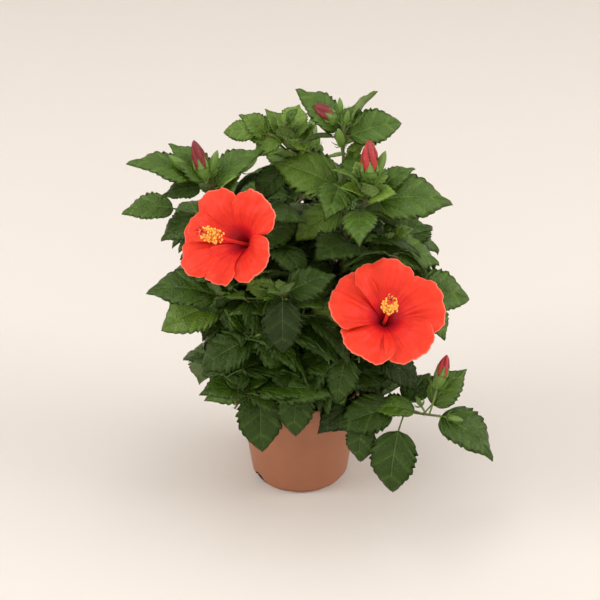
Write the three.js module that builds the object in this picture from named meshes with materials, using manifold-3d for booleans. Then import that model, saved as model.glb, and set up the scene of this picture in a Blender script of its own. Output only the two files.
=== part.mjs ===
// A potted hibiscus shrub: a nursery pot filled with potting soil, a short woody stem that forks
// into tapering boughs, masses of toothed leaves on their shoots, and two open five-petalled blooms.
// Millimetres, +Z up, the origin at the middle of the pot's flat underside, the front towards -Y.
import * as THREE from 'three';
import { mergeVertices } from 'three/addons/utils/BufferGeometryUtils.js';
import Module from 'manifold-3d';

const wasm = await Module();
wasm.setup();

// The gap that separate pieces keep where they meet.
const GAP = 0.3;

// Pot: a 13 cm nursery pot with a recessed foot, drainage arches and a rim band.
const POT_HEIGHT = 110;
const POT_RIM_RADIUS = 65;
const POT_RIM_BAND = 15;
const POT_WALL_TOP_RADIUS = 62.5;
const POT_WALL_FOOT_RADIUS = 50;
const POT_FOOT_RADIUS = 47;
const POT_FOOT_HEIGHT = 3.5;
const POT_WALL = 1.7;
const POT_FLOOR = 2.2;
const POT_SEGMENTS = 34;
const ARCH_COUNT = 8;
const ARCH_WIDTH = 11;
const ARCH_HEIGHT = 3.2;
const ARCH_FIRST_HEADING = 207;

// Potting soil.
const SOIL_TOP = 96;
const SOIL_SEGMENTS = 24;

// Stem: short, leaning a little, with a flared foot.
const STEM_FOOT = [0, 2, SOIL_TOP + GAP];
const STEM_HEAD = [1, 0, 136];
const STEM_FOOT_RADIUS = 6.2;
const STEM_HEAD_RADIUS = 4.6;
const STEM_FLARE = 3.6;

// Boughs: where each leaves the stem, the tip it reaches, and its radius there.
const BOUGH_ROOT_RADIUS = 3.9;
const BOUGH_SPRING = 0.42;
const BOUGHS = {
  bough_centre: { at: 0.98, tip: [43, -4, 284], tipRadius: 2.6 },
  bough_left: { at: 0.84, tip: [-34, -8, 232], tipRadius: 2.5 },
  bough_right: { at: 0.78, tip: [42, 4, 204], tipRadius: 2.5 },
  bough_back: { at: 0.86, tip: [-6, 44, 190], tipRadius: 2.5 },
  bough_front: { at: 0.72, tip: [-10, -34, 172], tipRadius: 2.3 },
  bough_low_left: { at: 0.56, tip: [-36, -36, 132], tipRadius: 2.2 },
  bough_low_right: { at: 0.60, tip: [50, -44, 128], tipRadius: 2.3 },
};

// Leaves: an ovate blade with a drawn-out tip and forward teeth, on a petiole.
const LEAF_WIDTH = 0.76;
const LEAF_TAPER = 0.95;
const LEAF_TEETH = 2;
const LEAF_THICKNESS = 0.02;
const LEAF_ARCH = 0.09;
const LEAF_FOLD = 13;
const PETIOLE_RADIUS = 1.0;
const SHOOT_TIP_RADIUS = 1.1;

// Masses of foliage: the bough and the place on it that each grows from, the point its shoot
// reaches, the number of leaves that follow the rule, the length of the longest, and the heading
// of the first. The shown rows are leaves that stand out from the front: place along the shoot,
// petiole, heading, rise, tilt towards the front, and blade length. The buds rows hold: place,
// stalk, heading, rise and length of the bud.
const MASSES = {
  foliage_top: {
    bough: 'bough_centre', at: 1, apex: [39, -10, 388], leaves: 5, size: 50, first: 80,
    shown: [
      [0.89, 9, 152, 40, 10, 54],
      [0.91, 12, 35, 46, -50, 40],
      [0.87, 8, 7, 13, 45, 53],
      [0.36, 8, 170, 19, 35, 68],
      [0.15, 4, -163, -25, 30, 52],
      [0.87, 10, -175, -9, -30, 31],
      [0.59, 11, 35, 46, 0, 26],
    ],
    buds: [[1, 8, 160, 55, 23], [0.97, 14, 120, 78, 15], [0.93, 12, -60, 70, 15], [0.7, 16, -110, 66, 22]],
  },
  foliage_top_left: {
    bough: 'bough_centre', at: 0.5, apex: [-16, 20, 372], leaves: 4, size: 50, first: 30,
    shown: [
      [0.96, 6, 70, 30, 20, 36],
      [0.92, 14, 144, 47, 10, 29],
      [0.95, 7, -162, -29, 20, 32],
      [0.97, 5, -31, -30, 20, 26],
      [0.83, 38, 167, 36, 0, 33],
      [0.91, 38, -178, 1, 0, 26],
      [0.84, 30, 167, 26, 0, 32],
      [0.80, 19, -152, -42, 20, 42],
    ],
    buds: [],
  },
  foliage_upper_left: {
    bough: 'bough_left', at: 1, apex: [-87, -20, 334], leaves: 5, size: 56, first: 60,
    shown: [
      [0.94, 23, 178, 14, 10, 62],
      [0.98, 5, 152, 41, 10, 50],
      [0.95, 6, 21, 33, 10, 55],
      [0.90, 17, -173, -11, 20, 38],
    ],
    buds: [[1, 4, 170, 76, 40], [0.97, 22, 178, 40, 26], [1, 12, 20, 70, 22], [0.93, 30, 10, 35, 20]],
  },
  foliage_upper_right: {
    bough: 'bough_centre', at: 0.78, apex: [64, -42, 338], leaves: 7, size: 56, first: 10,
    shown: [
      [0.75, 17, 1, 1, 30, 71],
      [0.85, 18, 109, 43, 10, 36],
      [0.81, 26, 23, 24, 20, 34],
      [0.60, 6, -30, -25, 0, 28],
    ],
    buds: [[1, 8, 100, 80, 38], [0.96, 18, 20, 68, 24]],
  },
  foliage_left: {
    bough: 'bough_left', at: 0.45, apex: [-76, -60, 236], leaves: 8, size: 54, first: 40,
    shown: [
      [0.99, 4, 179, 6, 22, 66],
      [0.62, 26, -163, -18, 35, 62],
      [0.80, 16, 12, 22, -40, 50],
      [0.44, 11, -89, -60, 0, 41],
    ],
    buds: [[1, 6, 150, -30, 16]],
  },
  foliage_front_left: {
    bough: 'bough_front', at: 0.6, apex: [-50, -86, 206], leaves: 8, size: 54, first: -100,
    shown: [
      [0.78, 10, -168, -28, 35, 55],
      [0.70, 13, -36, -41, 0, 34],
    ],
    buds: [],
  },
  foliage_low_left: {
    bough: 'bough_low_left', at: 1, apex: [-52, -82, 142], leaves: 6, size: 54, first: -20,
    shown: [
      [0.25, 6, -158, -34, 40, 46],
      [0.15, 19, -86, -59, 0, 60],
    ],
    buds: [],
  },
  foliage_low_front: {
    bough: 'bough_front', at: 0.4, apex: [4, -76, 146], leaves: 6, size: 50, first: 0,
    shown: [
      [0.80, 14, -100, -60, 0, 50],
    ],
    buds: [],
  },
  foliage_front: {
    bough: 'bough_front', at: 1, apex: [-16, -88, 254], leaves: 8, size: 54, first: -20,
    shown: [
      [0.96, 8, -89, -60, 0, 49],
      [0.98, 6, 16, 14, 35, 48],
    ],
    buds: [],
  },
  foliage_front_right: {
    bough: 'bough_low_right', at: 0.45, apex: [58, -80, 206], leaves: 7, size: 56, first: -80,
    shown: [
      [0.74, 19, -111, -56, 0, 44],
      [0.58, 40, -25, -37, 20, 47],
      [0.40, 10, -133, -17, 20, 40],
      [0.97, 20, 145, 16, 20, 46],
    ],
    buds: [],
  },
  foliage_low_right: {
    bough: 'bough_low_right', at: 1, apex: [130, -98, 128], leaves: 6, size: 52, first: 30,
    shown: [
      [0.39, 30, -150, -26, 20, 46],
      [0.73, 19, -166, -13, 30, 59],
      [0.35, 38, -110, -71, 0, 40],
      [0.70, 35, -106, -65, 0, 60],
      [0.86, 8, 179, 3, 10, 41],
      [0.88, 12, 28, 40, 20, 51],
      [0.99, 6, -27, -28, 35, 62],
    ],
    buds: [[0.93, 26, 54, 62, 34], [0.96, 9, 10, -32, 18], [0.9, 9, 120, 30, 12]],
  },
  foliage_right: {
    bough: 'bough_right', at: 1, apex: [84, -6, 268], leaves: 9, size: 56, first: 30,
    shown: [
      [0.82, 5, 8, -19, 20, 65],
      [0.86, 12, -158, -40, 40, 36],
      [0.36, 24, 3, 11, 0, 38],
    ],
    buds: [],
  },
  foliage_side_right: {
    bough: 'bough_right', at: 0.5, apex: [104, 2, 206], leaves: 10, size: 60, first: 60,
    shown: [
      [0.86, 17, 3, -8, 30, 60],
      [0.87, 38, -37, -48, 10, 40],
    ],
    buds: [],
  },
  foliage_side_left: {
    bough: 'bough_left', at: 0.75, apex: [-88, 0, 286], leaves: 9, size: 60, first: 130,
    shown: [
      [1, 36, -178, -4, 15, 50],
      [1, 10, -168, -24, 35, 42],
    ],
    buds: [],
  },
  foliage_back: {
    bough: 'bough_back', at: 1, apex: [10, 92, 312], leaves: 11, size: 64, first: 90,
    shown: [],
    buds: [[1, 8, 80, 70, 34], [0.96, 14, -20, 70, 20]],
  },
  foliage_back_right: {
    bough: 'bough_right', at: 0.78, apex: [84, 88, 262], leaves: 13, size: 64, first: 20,
    shown: [],
    buds: [[1, 10, 60, 66, 22]],
  },
  foliage_back_left: {
    bough: 'bough_back', at: 0.72, apex: [-72, 88, 256], leaves: 13, size: 64, first: 150,
    shown: [],
    buds: [[1, 8, 130, 70, 24]],
  },
  foliage_back_low: {
    bough: 'bough_back', at: 0.3, apex: [8, 108, 158], leaves: 14, size: 62, first: 90,
    shown: [
      [0.5, 16, 100, -48, 0, 56],
      [0.4, 24, 30, -38, 0, 54],
      [0.36, 24, 160, -38, 0, 54],
    ],
    buds: [],
  },
};
const SEED = 41;
const GOLDEN_TURN = 144;
const BARE_SHARE = 0.22;
const LEAF_CLEARANCE = 7;
const LIMB_CLEARANCE = 5;
const LIMB_SAMPLES = Array.from({ length: 20 }, (_, k) => (k + 1) / 20);
const CROWN_CENTRE = [6, 0, 236];
const CROWN_REACH = [168, 150, 184];

// How strongly a leaf turns away from the crown's middle, and the turns and lifts that it tries in
// its search for room.
const OUTWARD_PULL = 0.55;
const RETRIES = [
  [0, 0], [25, -14], [-25, -14], [45, 14], [-45, 14], [0, -32], [0, 30], [70, -20], [-70, -20],
  [100, 10], [-100, 10],
];

// Blooms: the throat, the heading and rise of the face, the turn of each petal about it and how far
// it reaches, and the bough and the place on it that the flowering twig grows from.
const BLOOMS = {
  bloom_left: {
    throat: [-49, -70, 297], heading: 232, rise: 33, bough: 'bough_left', at: 0.9,
    turns: [54, 140, 200, 256, 334], reach: [49, 55, 58, 49, 47],
  },
  bloom_right: {
    throat: [78, -90, 226], heading: -82, rise: 48, bough: 'bough_right', at: 0.62,
    turns: [12, 87, 151, 226, 300], reach: [54, 55, 55, 55, 50],
  },
};
const BLOOM_DEPTH = 25;
const BLOOM_ROOM = 60;
const BLOOM_BACK = 13;
const PETAL_HALF_ANGLE = 43;
const THROAT_RADIUS = 3;
const PETAL_THICKNESS = 1.4;
const PETAL_ROWS = 4;
const PETAL_COLUMNS = 4;
const COLUMN_LENGTH = 62;
const COLUMN_RADIUS = 1.7;
const ANTHER_LENGTH = 24;
const ANTHER_RADIUS = 8;

// Colours, with the roughness of each surface.
const COLOURS = {
  pot: [0x9c5f43, 0.55],
  soil: [0x2c2019, 0.95],
  bark: [0x6b5a3c, 0.85],
  foliage: [0x3f6a26, 0.45],
  bloom: [0xf5432f, 0.6],
};

// Vectors are plain arrays of three numbers.
const add = (a, b, k = 1) => [a[0] + b[0] * k, a[1] + b[1] * k, a[2] + b[2] * k];
const sub = (a, b) => add(a, b, -1);
const dot = (a, b) => a[0] * b[0] + a[1] * b[1] + a[2] * b[2];
const cross = (a, b) => [a[1] * b[2] - a[2] * b[1], a[2] * b[0] - a[0] * b[2], a[0] * b[1] - a[1] * b[0]];
const size = (a) => Math.sqrt(dot(a, a));
const unit = (a) => add([0, 0, 0], a, 1 / size(a));
const mix = (a, b, t) => a + (b - a) * t;
const radians = (degrees) => (degrees * Math.PI) / 180;

// The unit vector of a compass heading, 0 to the right and 90 to the back, and a rise.
function direction(heading, rise) {
  const h = radians(heading);
  const r = radians(rise);
  return [Math.cos(r) * Math.cos(h), Math.cos(r) * Math.sin(h), Math.sin(r)];
}

// A limb's axis is a quadratic curve: start, control and end point.
function curvePoint(curve, t) {
  const s = 1 - t;
  return [0, 1, 2].map((i) => s * s * curve[0][i] + 2 * s * t * curve[1][i] + t * t * curve[2][i]);
}

function curveTangent(curve, t) {
  return unit([0, 1, 2].map((i) => (1 - t) * (curve[1][i] - curve[0][i]) + t * (curve[2][i] - curve[1][i])));
}

// A repeatable stream of even draws.
class Draws {
  constructor(seed) {
    this.state = seed;
  }

  next() {
    this.state = (this.state * 1664525 + 1013904223) % 4294967296;
    return this.state / 4294967296;
  }

  spread(amount) {
    return (this.next() * 2 - 1) * amount;
  }
}

// Solids from points and triangles, from a turned profile, and from rings of points.
function solidOf(points, faces) {
  const mesh = new wasm.Mesh({
    numProp: 3,
    vertProperties: Float32Array.from(points.flat()),
    triVerts: Uint32Array.from(faces.flat()),
  });
  mesh.merge();
  return new wasm.Manifold(mesh);
}

// A closed mesh as a solid, turned the right way out.
function outward(points, faces) {
  const solid = solidOf(points, faces);
  return solid.volume() > 0 ? solid : solidOf(points, faces.map(([a, b, c]) => [a, c, b]));
}

function turnedSolid(profile, segments) {
  const lathe = new THREE.LatheGeometry(profile.map(([r, z]) => new THREE.Vector2(r, z)), segments);
  lathe.deleteAttribute('normal');
  lathe.deleteAttribute('uv');
  lathe.rotateX(Math.PI / 2);
  const merged = mergeVertices(lathe, 1e-3);
  const position = merged.attributes.position;
  const points = [];
  for (let i = 0; i < position.count; i += 1) {
    points.push([position.getX(i), position.getY(i), position.getZ(i)]);
  }
  const faces = [];
  for (let i = 0; i < merged.index.count; i += 3) {
    const [a, b, c] = [0, 1, 2].map((k) => merged.index.getX(i + k));
    if (a !== b && b !== c && c !== a) {
      faces.push([a, b, c]);
    }
  }
  return outward(points, faces);
}

// Rings of equal length joined by walls, closed by a flat fan at each end.
function ringSolid(rings) {
  const sides = rings[0].length;
  const faces = [];
  for (let i = 0; i + 1 < rings.length; i += 1) {
    for (let k = 0; k < sides; k += 1) {
      const a = i * sides + k;
      const b = i * sides + ((k + 1) % sides);
      faces.push([a, b, b + sides], [a, b + sides, a + sides]);
    }
  }
  const last = (rings.length - 1) * sides;
  for (let k = 1; k + 1 < sides; k += 1) {
    faces.push([0, k + 1, k], [last, last + k, last + k + 1]);
  }
  return solidOf(rings.flat(), faces);
}

// Two unit vectors square to an axis.
function crossAxes(axis) {
  const guide = Math.abs(axis[0]) < 0.8 ? [1, 0, 0] : [0, 1, 0];
  const across = unit(cross(guide, axis));
  return [across, cross(axis, across)];
}

function ring(centre, axis, radius, sides) {
  const [across, up] = crossAxes(axis);
  return Array.from({ length: sides }, (_, k) => {
    const turn = (2 * Math.PI * k) / sides;
    return add(add(centre, across, radius * Math.cos(turn)), up, radius * Math.sin(turn));
  });
}

// A tapering limb along a curve. Grown by a margin all round, it is the room that others leave it.
function limbSolid(limb, margin = 0) {
  const rings = [];
  for (let i = 0; i <= limb.steps; i += 1) {
    const t = i / limb.steps;
    const axis = curveTangent(limb.curve, t);
    const end = i === 0 ? -margin : i === limb.steps ? margin : 0;
    const radius = mix(limb.rootRadius, limb.tipRadius, t) + limb.flare * Math.max(0, 1 - 5 * t) ** 2;
    rings.push(ring(add(curvePoint(limb.curve, t), axis, end), axis, radius + margin, limb.sides));
  }
  return ringSolid(rings);
}

function union(solids) {
  return solids.reduce((whole, solid) => whole.add(solid));
}

// Whether two solids share any room.
function touches(a, b) {
  const [boxA, boxB] = [a.boundingBox(), b.boundingBox()];
  if ([0, 1, 2].some((i) => boxA.max[i] < boxB.min[i] || boxB.max[i] < boxA.min[i])) {
    return false;
  }
  const shared = a.intersect(b);
  const meet = !shared.isEmpty();
  shared.delete();
  return meet;
}

// The largest piece of a solid, with loose scraps and sealed hollows dropped.
function wholeBody(solid) {
  const pieces = solid.decompose();
  return pieces.reduce((best, piece) => (piece.volume() > best.volume() ? piece : best));
}

// The skeleton: stem and boughs. The stem rises square from its foot, so that its cut lies flat.
const stem = {
  curve: [STEM_FOOT, [STEM_FOOT[0], STEM_FOOT[1], mix(STEM_FOOT[2], STEM_HEAD[2], 0.5)], STEM_HEAD],
  rootRadius: STEM_FOOT_RADIUS,
  tipRadius: STEM_HEAD_RADIUS,
  flare: STEM_FLARE,
  sides: 10,
  steps: 10,
};

function boughLimb({ at, tip, tipRadius }) {
  const start = curvePoint(stem.curve, at);
  const outward = unit([tip[0] - start[0], tip[1] - start[1], 0]);
  const spring = unit([outward[0], outward[1], 1]);
  const control = add(start, spring, size(sub(tip, start)) * BOUGH_SPRING);
  const curve = [start, control, tip];
  return { curve, rootRadius: BOUGH_ROOT_RADIUS, tipRadius, flare: 0, sides: 7, steps: 5 };
}

const boughs = {};
for (const [name, bough] of Object.entries(BOUGHS)) {
  boughs[name] = boughLimb(bough);
}

// A shoot leaves its bough smoothly at the tip, or at an angle along its side.
function twigLimb(bough, at, end, rootRadius, tipRadius) {
  const parent = boughs[bough];
  const start = curvePoint(parent.curve, at);
  let along = curveTangent(parent.curve, at);
  if (at < 1) {
    along = unit(add(along, unit(sub(end, start)), 1.2));
  }
  const control = add(start, along, size(sub(end, start)) * 0.45);
  return { curve: [start, control, end], rootRadius, tipRadius, flare: 0, sides: 5, steps: 5 };
}

// A leaf's frame: the blade's base, its chord, the normal of its upper face and its side.
function leafFrame(limb, [at, petiole, heading, rise, tilt, length]) {
  const root = curvePoint(limb.curve, at);
  const base = add(root, direction(heading, 25 + 0.4 * rise), petiole);
  const chord = direction(heading, rise);
  const level = unit(sub([0, 0, 1], add([0, 0, 0], chord, chord[2])));
  const side = cross(chord, level);
  const turn = radians(tilt) * (side[1] > 0 ? -1 : 1);
  const normal = add(add([0, 0, 0], level, Math.cos(turn)), side, Math.sin(turn));
  return { root, base, chord, normal, side: cross(chord, normal), length };
}

// Half the blade's width at a share of its length: rounded at the base, drawn out at the tip.
function bladeHalfWidth(share) {
  const outline = (s) => Math.sqrt(s) * (1 - s) ** LEAF_TAPER;
  const widest = 0.5 / (0.5 + LEAF_TAPER);
  return (0.5 * LEAF_WIDTH * outline(share)) / outline(widest);
}

// A point of the blade, by its share of the length and its distance from the midrib.
function bladePoint(leaf, share, across, lift = 0) {
  const arch = LEAF_ARCH * 4 * share * (1 - share);
  const fold = radians(LEAF_FOLD);
  const rib = add(add(leaf.base, leaf.chord, share * leaf.length), leaf.normal, (arch + lift) * leaf.length);
  const level = add(rib, leaf.side, across * leaf.length * Math.cos(fold));
  return add(level, leaf.normal, Math.abs(across) * leaf.length * Math.sin(fold));
}

// The margin of one half of the blade, as share of the length and half width.
function bladeMargin() {
  const shoulder = 0.08;
  const first = 0.29;
  const pitch = (0.9 - first) / LEAF_TEETH;
  const margin = [[shoulder, bladeHalfWidth(shoulder)]];
  for (let tooth = 0; tooth < LEAF_TEETH; tooth += 1) {
    const point = first + pitch * tooth;
    const notch = point + pitch * 0.3;
    margin.push([point, bladeHalfWidth(point) * 1.06], [notch, bladeHalfWidth(notch) * 0.94]);
  }
  return margin;
}

// A leaf: a four-sided petiole, rooted inside the twig, that opens into the blade. Both faces of
// the blade meet in the toothed margin and are thickest along the midrib.
function leafSolid(leaf) {
  const margin = bladeMargin();
  const ribShares = [0.3, 0.65];
  const half = LEAF_THICKNESS / 2;
  const diamond = (centre, radius) => [[1, 0], [0, 1], [-1, 0], [0, -1]].map(([x, y]) => (
    add(add(centre, leaf.side, x * radius), leaf.normal, y * radius)));
  const points = [...diamond(leaf.root, PETIOLE_RADIUS), ...diamond(leaf.base, PETIOLE_RADIUS)];
  const tip = points.push(bladePoint(leaf, 1, 0)) - 1;
  const faces = [[0, 1, 2], [0, 2, 3]];
  for (let k = 0; k < 4; k += 1) {
    const next = (k + 1) % 4;
    faces.push([k, 4 + k, next], [next, 4 + k, 4 + next]);
  }
  const ribs = {};
  for (const face of [1, -1]) {
    ribs[face] = ribShares.map((share) => [points.push(bladePoint(leaf, share, 0, face * half)) - 1, share]);
  }
  for (const side of [1, -1]) {
    const edge = margin.map(([share, width]) => [
      points.push(bladePoint(leaf, share, side * width)) - 1, share,
    ]);
    const outer = [[side > 0 ? 4 : 6, 0], ...edge, [tip, 1]];
    for (const face of [1, -1]) {
      const inner = [[face > 0 ? 5 : 7, 0], ...ribs[face], [tip, 1]];
      zip(outer, inner).forEach((corners) => faces.push(side * face > 0 ? corners : corners.reverse()));
    }
  }
  return outward(points, faces);
}

// Triangles between two chains of [index, share] that run the same way and end in one point.
function zip(outer, inner) {
  const faces = [];
  let i = 0;
  let j = 0;
  while (i + 1 < outer.length || j + 1 < inner.length) {
    const stepOuter = j + 1 >= inner.length || (i + 1 < outer.length && outer[i + 1][1] <= inner[j + 1][1]);
    const next = stepOuter ? outer[i + 1][0] : inner[j + 1][0];
    if (next !== outer[i][0] && next !== inner[j][0] && outer[i][0] !== inner[j][0]) {
      faces.push([outer[i][0], next, inner[j][0]]);
    }
    i += stepOuter ? 1 : 0;
    j += stepOuter ? 0 : 1;
  }
  return faces;
}

// A bud on its stalk: a pointed spindle that swells from its calyx.
function budSolid(limb, [at, stalk, heading, rise, length]) {
  const axis = direction(heading, rise);
  const root = curvePoint(limb.curve, at);
  const foot = add(root, axis, stalk);
  const outline = [[0, 0.1], [0.22, 0.2], [0.6, 0.19], [1, 0.03]];
  const rings = outline.map(([share, radius]) => (
    ring(add(foot, axis, share * length), axis, radius * length, 5)));
  const stem3 = ringSolid([ring(root, axis, 1, 3), ring(add(foot, axis, length * 0.2), axis, 0.9, 3)]);
  return stem3.add(ringSolid(rings));
}

// Sample points of a blade, for the room that leaves leave one another.
function bladeSamples(leaf) {
  const samples = [0.04, 0.3, 0.55, 0.8, 1].map((share) => bladePoint(leaf, share, 0));
  for (const side of [1, -1]) {
    for (const share of [0.15, 0.35, 0.6]) {
      samples.push(bladePoint(leaf, share, side * bladeHalfWidth(share) * 0.85));
    }
  }
  samples.push(add(leaf.root, sub(leaf.base, leaf.root), 0.7));
  return samples;
}

function nearest(samples, others) {
  let best = Infinity;
  for (const a of samples) {
    for (const b of others) {
      best = Math.min(best, size(sub(a, b)));
    }
  }
  return best;
}

// Whether a leaf has room: inside the crown, off the pot, and clear of leaves, limbs and blooms.
function hasRoom(leaf, placed, limbSamples) {
  const samples = bladeSamples(leaf);
  for (const p of samples) {
    const reach = size([0, 1, 2].map((i) => (p[i] - CROWN_CENTRE[i]) / CROWN_REACH[i]));
    const overPot = p[2] < POT_HEIGHT + 8 && Math.hypot(p[0], p[1]) < POT_RIM_RADIUS + 8;
    if (reach > 1 || overPot || inBloom(p)) {
      return false;
    }
  }
  if (nearest(samples, limbSamples) < LIMB_CLEARANCE) {
    return false;
  }
  const middle = samples[2];
  return placed.every((other) => {
    const near = size(sub(middle, other.samples[2])) < (leaf.length + other.length) * 0.75;
    return !near || nearest(samples, other.samples) >= LEAF_CLEARANCE;
  });
}

// Whether a point lies in the space of a bloom, a disc with some depth before and behind it.
function inBloom(point) {
  return Object.values(BLOOMS).some(({ throat, heading, rise }) => {
    const axis = direction(heading, rise);
    const offset = sub(point, throat);
    const height = dot(offset, axis);
    const radius = size(add(offset, axis, -height));
    const back = Math.min(radius * 0.6 - 20, 12);
    const front = radius < 16 ? COLUMN_LENGTH : BLOOM_DEPTH + 10;
    return radius < BLOOM_ROOM && height > back && height < front;
  });
}

function limbSamplesOf(limbs) {
  return limbs.flatMap((limb) => LIMB_SAMPLES.map((t) => curvePoint(limb.curve, t)));
}

// All leaves of the plant: first those that stand out, then the rest by the spiral rule.
function growLeaves(shoots) {
  const placed = [];
  const put = (mass, frame) => placed.push({ ...frame, mass, samples: bladeSamples(frame) });
  for (const [name, mass] of Object.entries(MASSES)) {
    mass.shown.forEach((row) => put(name, leafFrame(shoots[name], row)));
  }
  const limbSamples = limbSamplesOf([...Object.values(boughs), ...Object.values(shoots)]);
  const draws = new Draws(SEED);
  for (const [name, mass] of Object.entries(MASSES)) {
    for (let k = 0; k < mass.leaves; k += 1) {
      const share = (k + 0.5) / mass.leaves;
      const at = mix(BARE_SHARE, 1, share);
      const root = curvePoint(shoots[name].curve, at);
      const around = radians(mass.first + GOLDEN_TURN * k + draws.spread(14));
      const outward = Math.atan2(root[1] - CROWN_CENTRE[1], root[0] - CROWN_CENTRE[0]);
      const x = Math.cos(around) + OUTWARD_PULL * Math.cos(outward);
      const y = Math.sin(around) + OUTWARD_PULL * Math.sin(outward);
      const heading = (Math.atan2(y, x) * 180) / Math.PI;
      const rise = mix(-30, 34, share) + draws.spread(12);
      const length = mass.size * (1 - 0.45 * share * share + draws.spread(0.08));
      const petiole = length * (0.26 + draws.spread(0.06));
      const tilt = draws.spread(16);
      for (const [turn, lift] of RETRIES) {
        const frame = leafFrame(shoots[name], [at, petiole, heading + turn, rise + lift, tilt, length]);
        if (hasRoom(frame, placed, limbSamples)) {
          put(name, frame);
          break;
        }
      }
    }
  }
  return placed;
}

// A point of a petal in its bloom: across from -1 to 1, out from 0 at the throat to 1.
function petalPoint(bloom, petal, across, out) {
  const spread = radians(PETAL_HALF_ANGLE) * (0.8 + 0.2 * out);
  const angle = radians(bloom.turns[petal]) + across * spread;
  const rounded = 1 - 0.34 * Math.abs(across) ** 3 * out;
  const radius = THROAT_RADIUS + (bloom.reach[petal] - THROAT_RADIUS) * out * rounded;
  const ruffle = 2.6 * out ** 3 * Math.sin(4.1 * across + 1.7 * petal + 2);
  const height = BLOOM_DEPTH * (1 - (1 - out) ** 2.1) + 2.4 * across * out + ruffle - 4 * out ** 4;
  const axis = direction(bloom.heading, bloom.rise);
  const right = unit(cross(axis, [0, 0, 1]));
  const up = cross(right, axis);
  const flat = add(add(bloom.throat, right, -radius * Math.cos(angle)), up, radius * Math.sin(angle));
  return add(flat, axis, height);
}

// A petal: two faces that meet in its margin.
function petalSolid(bloom, petal) {
  const axis = direction(bloom.heading, bloom.rise);
  const points = [];
  const index = {};
  for (let row = 0; row <= PETAL_ROWS; row += 1) {
    for (let column = 0; column <= PETAL_COLUMNS; column += 1) {
      const edge = row === 0 || row === PETAL_ROWS || column === 0 || column === PETAL_COLUMNS;
      const middle = petalPoint(bloom, petal, (2 * column) / PETAL_COLUMNS - 1, row / PETAL_ROWS);
      for (const face of [1, -1]) {
        if (edge && face === -1) {
          index[[row, column, face]] = index[[row, column, 1]];
        } else {
          const lift = edge ? 0 : (face * PETAL_THICKNESS) / 2;
          index[[row, column, face]] = points.push(add(middle, axis, lift)) - 1;
        }
      }
    }
  }
  const faces = [];
  for (let row = 0; row < PETAL_ROWS; row += 1) {
    for (let column = 0; column < PETAL_COLUMNS; column += 1) {
      for (const face of [1, -1]) {
        const [a, b] = [index[[row, column, face]], index[[row, column + 1, face]]];
        const [c, d] = [index[[row + 1, column + 1, face]], index[[row + 1, column, face]]];
        const farCorner = row === PETAL_ROWS - 1 && column === PETAL_COLUMNS - 1;
        const forward = (row === 0) === (column === 0) || farCorner;
        const pair = forward ? [[a, b, c], [a, c, d]] : [[a, b, d], [b, c, d]];
        pair.forEach((corners) => faces.push(face > 0 ? corners : [...corners].reverse()));
      }
    }
  }
  return outward(points, faces);
}

// A bloom on its flowering twig: stalk, calyx, petals and the column with its head of anthers.
function bloomSolid(bloom, twig) {
  const axis = direction(bloom.heading, bloom.rise);
  const along = (distance) => add(bloom.throat, axis, distance);
  const turned = (outline, sides) => ringSolid(outline.map(([d, r]) => ring(along(d), axis, r, sides)));
  const calyx = turned([[-16, 2], [-12, 5.5], [-2, 6.5], [7, 4.8]], 7);
  const reach = COLUMN_LENGTH;
  const column = turned([[0, COLUMN_RADIUS * 1.3], [reach, COLUMN_RADIUS]], 5);
  const head = reach - ANTHER_LENGTH;
  const anthers = turned([
    [head, 3], [head + 6, ANTHER_RADIUS * 0.9], [head + 14, ANTHER_RADIUS], [reach, ANTHER_RADIUS * 0.6],
    [reach + 5, 2],
  ], 7);
  const petals = bloom.reach.map((_, petal) => petalSolid(bloom, petal));
  return union([limbSolid(twig), calyx, column, anthers, ...petals]);
}

// The pot, with arches cut through the foot of its wall.
function potSolid() {
  const bandFoot = POT_HEIGHT - POT_RIM_BAND;
  const profile = [
    [0, 0], [POT_FOOT_RADIUS - 1, 0], [POT_FOOT_RADIUS, 0.8], [POT_FOOT_RADIUS, POT_FOOT_HEIGHT],
    [POT_WALL_FOOT_RADIUS, POT_FOOT_HEIGHT + 1.2], [POT_WALL_TOP_RADIUS, bandFoot - 1],
    [POT_RIM_RADIUS - 0.6, bandFoot],
    [POT_RIM_RADIUS, bandFoot + 1], [POT_RIM_RADIUS, POT_HEIGHT - 1.2], [POT_RIM_RADIUS - 0.9, POT_HEIGHT],
    [POT_RIM_RADIUS - 2.2, POT_HEIGHT - 0.4], [POT_WALL_TOP_RADIUS - POT_WALL + 0.4, bandFoot - 2],
    [POT_FOOT_RADIUS - POT_WALL, POT_FLOOR + 2], [POT_FOOT_RADIUS - POT_WALL - 2, POT_FLOOR], [0, POT_FLOOR],
  ];
  let pot = turnedSolid(profile, POT_SEGMENTS);
  for (let k = 0; k < ARCH_COUNT; k += 1) {
    const heading = ARCH_FIRST_HEADING + (360 / ARCH_COUNT) * k;
    const arch = new THREE.Shape();
    arch.moveTo(-ARCH_WIDTH / 2, -1);
    arch.lineTo(ARCH_WIDTH / 2, -1);
    arch.lineTo(ARCH_WIDTH / 2, ARCH_HEIGHT * 0.4);
    arch.quadraticCurveTo(ARCH_WIDTH / 2, ARCH_HEIGHT, 0, ARCH_HEIGHT);
    arch.quadraticCurveTo(-ARCH_WIDTH / 2, ARCH_HEIGHT, -ARCH_WIDTH / 2, ARCH_HEIGHT * 0.4);
    const cutter = new THREE.ExtrudeGeometry(arch, { depth: 6, bevelEnabled: false, curveSegments: 3 });
    cutter.rotateX(Math.PI / 2);
    cutter.translate(0, -(POT_FOOT_RADIUS - 1.2), 0);
    cutter.rotateZ(radians(heading + 90));
    pot = pot.subtract(geometrySolid(cutter));
  }
  return pot;
}

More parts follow.
